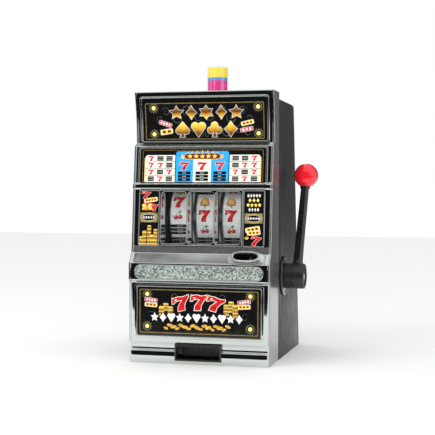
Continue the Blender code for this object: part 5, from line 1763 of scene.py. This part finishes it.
def stage():
    scene = bpy.context.scene
    scene.view_settings.view_transform = "Standard"
    world = bpy.data.worlds.new("studio")
    world.use_nodes = True
    background = world.node_tree.nodes["Background"]
    background.inputs["Color"].default_value = (1, 1, 1, 1)
    background.inputs["Strength"].default_value = 1.0
    scene.world = world
    bpy.ops.object.select_all(action="DESELECT")
    bpy.ops.mesh.primitive_plane_add(size=FLOOR_SIZE, location=(0, 0, -FLOOR_DROP))
    floor = added("floor")
    look = Look("floor", (0.88, 0.89, 0.88), 0.6, specular_ior_level=0.0)
    floor.data.materials.append(look.material)
    card("dark_front", (-0.6, -2.2, 1.0), (5.0, 2.0), (math.pi / 2, 0, 0), 0.01)
    card("dark_floor", (-0.3, -1.32, 0.001), (4.4, 2.0), (0, 0, 0), 0.01)
    card("dark_floor_left", (-1.4, 0.4, 0.001), (1.9, 1.4), (0, 0, 0), 0.01)
    card("dark_behind", (0.95, 1.3, 1.0), (1.9, 1.98), (math.pi / 2, 0, 0), 0.13, (1.0, 0.9, 0.96))
    card("grey_above", (-0.46, -0.68, 1.7), (0.62, 0.5), (0, 0, 0), 0.42, (1, 1, 0.97), 0.55)
    light = area_light("key", (-0.9, -1.1, 1.3), (0, 0, 0.18), (0.9, 0.9), 7)
    light.visible_glossy = False
    light = area_light("window_fill", (0.25, -1.5, 0.45), (0, 0, 0.18), (0.6, 0.6), 9)
    light.visible_glossy = False
    camera = bpy.data.cameras.new("camera")
    camera.lens = LENS
    camera.sensor_width = SENSOR
    obj = bpy.data.objects.new("camera", camera)
    obj.location = CAMERA_PLACE
    heading = Matrix.Rotation(CAMERA_HEADING, 4, "Z")
    tilt = Matrix.Rotation(math.pi / 2 - CAMERA_DIP, 4, "X")
    roll = Matrix.Rotation(CAMERA_ROLL, 4, "Z")
    obj.rotation_euler = (heading @ tilt @ roll).to_euler()
    bpy.context.collection.objects.link(obj)
    scene.camera = obj


# Operators


def prepare():
    FRONT["samples"] = front_samples()
    make_looks()


def prints():
    for art in (marquee_art, paytable_art, belly_art, left_side_art, right_side_art):
        fit(art(), "cabinet", "printed", None)


def reels():
    for number in (1, 2, 3):
        reel_drum(number)
        fit(reel_art(number), f"reel_{number}", "reel_strip", None)


class BANK_OT_prepare(bpy.types.Operator):
    """Reads the shell's face and makes the materials"""

    bl_idname = "bank.prepare"
    bl_label = "Prepare"
    bl_options = {"REGISTER", "UNDO"}

    def execute(self, context):
        prepare()
        return {"FINISHED"}


class BANK_OT_front_shell(bpy.types.Operator):
    """Builds the plated front shell"""

    bl_idname = "bank.front_shell"
    bl_label = "Front shell"
    bl_options = {"REGISTER", "UNDO"}

    def execute(self, context):
        front_shell()
        return {"FINISHED"}


class BANK_OT_panel_frames(bpy.types.Operator):
    """Builds the raised frames round the printed panels"""

    bl_idname = "bank.panel_frames"
    bl_label = "Panel frames"
    bl_options = {"REGISTER", "UNDO"}

    def execute(self, context):
        panel_frames()
        return {"FINISHED"}


class BANK_OT_prints(bpy.types.Operator):
    """Prints the five panels"""

    bl_idname = "bank.prints"
    bl_label = "Printed panels"
    bl_options = {"REGISTER", "UNDO"}

    def execute(self, context):
        prints()
        return {"FINISHED"}


class BANK_OT_ledge(bpy.types.Operator):
    """Builds the stippled strip on the ledge"""

    bl_idname = "bank.ledge"
    bl_label = "Ledge strip"
    bl_options = {"REGISTER", "UNDO"}

    def execute(self, context):
        ledge()
        return {"FINISHED"}


class BANK_OT_window_bezel(bpy.types.Operator):
    """Builds the window bezel"""

    bl_idname = "bank.window_bezel"
    bl_label = "Window bezel"
    bl_options = {"REGISTER", "UNDO"}

    def execute(self, context):
        window_bezel()
        return {"FINISHED"}


class BANK_OT_reels(bpy.types.Operator):
    """Builds the three reels and their symbols"""

    bl_idname = "bank.reels"
    bl_label = "Reels"
    bl_options = {"REGISTER", "UNDO"}

    def execute(self, context):
        reels()
        return {"FINISHED"}


class BANK_OT_coin_cup(bpy.types.Operator):
    """Builds the coin cup on the deck"""

    bl_idname = "bank.coin_cup"
    bl_label = "Coin cup"
    bl_options = {"REGISTER", "UNDO"}

    def execute(self, context):
        coin_cup()
        return {"FINISHED"}


class BANK_OT_payout(bpy.types.Operator):
    """Builds the payout surround and its comb"""

    bl_idname = "bank.payout"
    bl_label = "Payout"
    bl_options = {"REGISTER", "UNDO"}

    def execute(self, context):
        payout()
        return {"FINISHED"}


class BANK_OT_casing(bpy.types.Operator):
    """Builds the rear casing and its fittings"""

    bl_idname = "bank.casing"
    bl_label = "Casing"
    bl_options = {"REGISTER", "UNDO"}

    def execute(self, context):
        casing()
        return {"FINISHED"}


class BANK_OT_handle(bpy.types.Operator):
    """Builds the pull handle"""

    bl_idname = "bank.handle"
    bl_label = "Handle"
    bl_options = {"REGISTER", "UNDO"}

    def execute(self, context):
        handle_pieces()
        return {"FINISHED"}


class BANK_OT_beacon(bpy.types.Operator):
    """Builds the light on the top"""

    bl_idname = "bank.beacon"
    bl_label = "Beacon"
    bl_options = {"REGISTER", "UNDO"}

    def execute(self, context):
        beacon()
        return {"FINISHED"}


class BANK_OT_kept_pieces(bpy.types.Operator):
    """Gives the pieces that keep their CAD shape their materials"""

    bl_idname = "bank.kept_pieces"
    bl_label = "Kept pieces"
    bl_options = {"REGISTER", "UNDO"}

    def execute(self, context):
        kept_pieces()
        return {"FINISHED"}


class BANK_OT_stage(bpy.types.Operator):
    """Sets the floor, lights and camera"""

    bl_idname = "bank.stage"
    bl_label = "Stage"
    bl_options = {"REGISTER", "UNDO"}

    def execute(self, context):
        stage()
        return {"FINISHED"}


OPERATORS = (
    BANK_OT_prepare,
    BANK_OT_front_shell,
    BANK_OT_panel_frames,
    BANK_OT_prints,
    BANK_OT_ledge,
    BANK_OT_window_bezel,
    BANK_OT_reels,
    BANK_OT_coin_cup,
    BANK_OT_payout,
    BANK_OT_casing,
    BANK_OT_handle,
    BANK_OT_beacon,
    BANK_OT_kept_pieces,
    BANK_OT_stage,
)


class BANK_PT_panel(bpy.types.Panel):
    """Lists the operators"""

    bl_label = "Slot machine bank"
    bl_idname = "BANK_PT_panel"
    bl_space_type = "VIEW_3D"
    bl_region_type = "UI"
    bl_category = "Bank"

    def draw(self, context):
        for name in BankSettings.__annotations__:
            self.layout.prop(context.scene.bank_settings, name)
        for operator in OPERATORS:
            self.layout.operator(operator.bl_idname)


CLASSES = (BankSettings, *OPERATORS, BANK_PT_panel)


def register():
    for cls in CLASSES:
        bpy.utils.register_class(cls)
    bpy.types.Scene.bank_settings = bpy.props.PointerProperty(type=BankSettings)


def unregister():
    del bpy.types.Scene.bank_settings
    for cls in reversed(CLASSES):
        bpy.utils.unregister_class(cls)


def main():
    register()
    for operator in OPERATORS:
        getattr(bpy.ops.bank, operator.bl_idname.split(".")[1])()


if __name__ == "__main__":
    main()
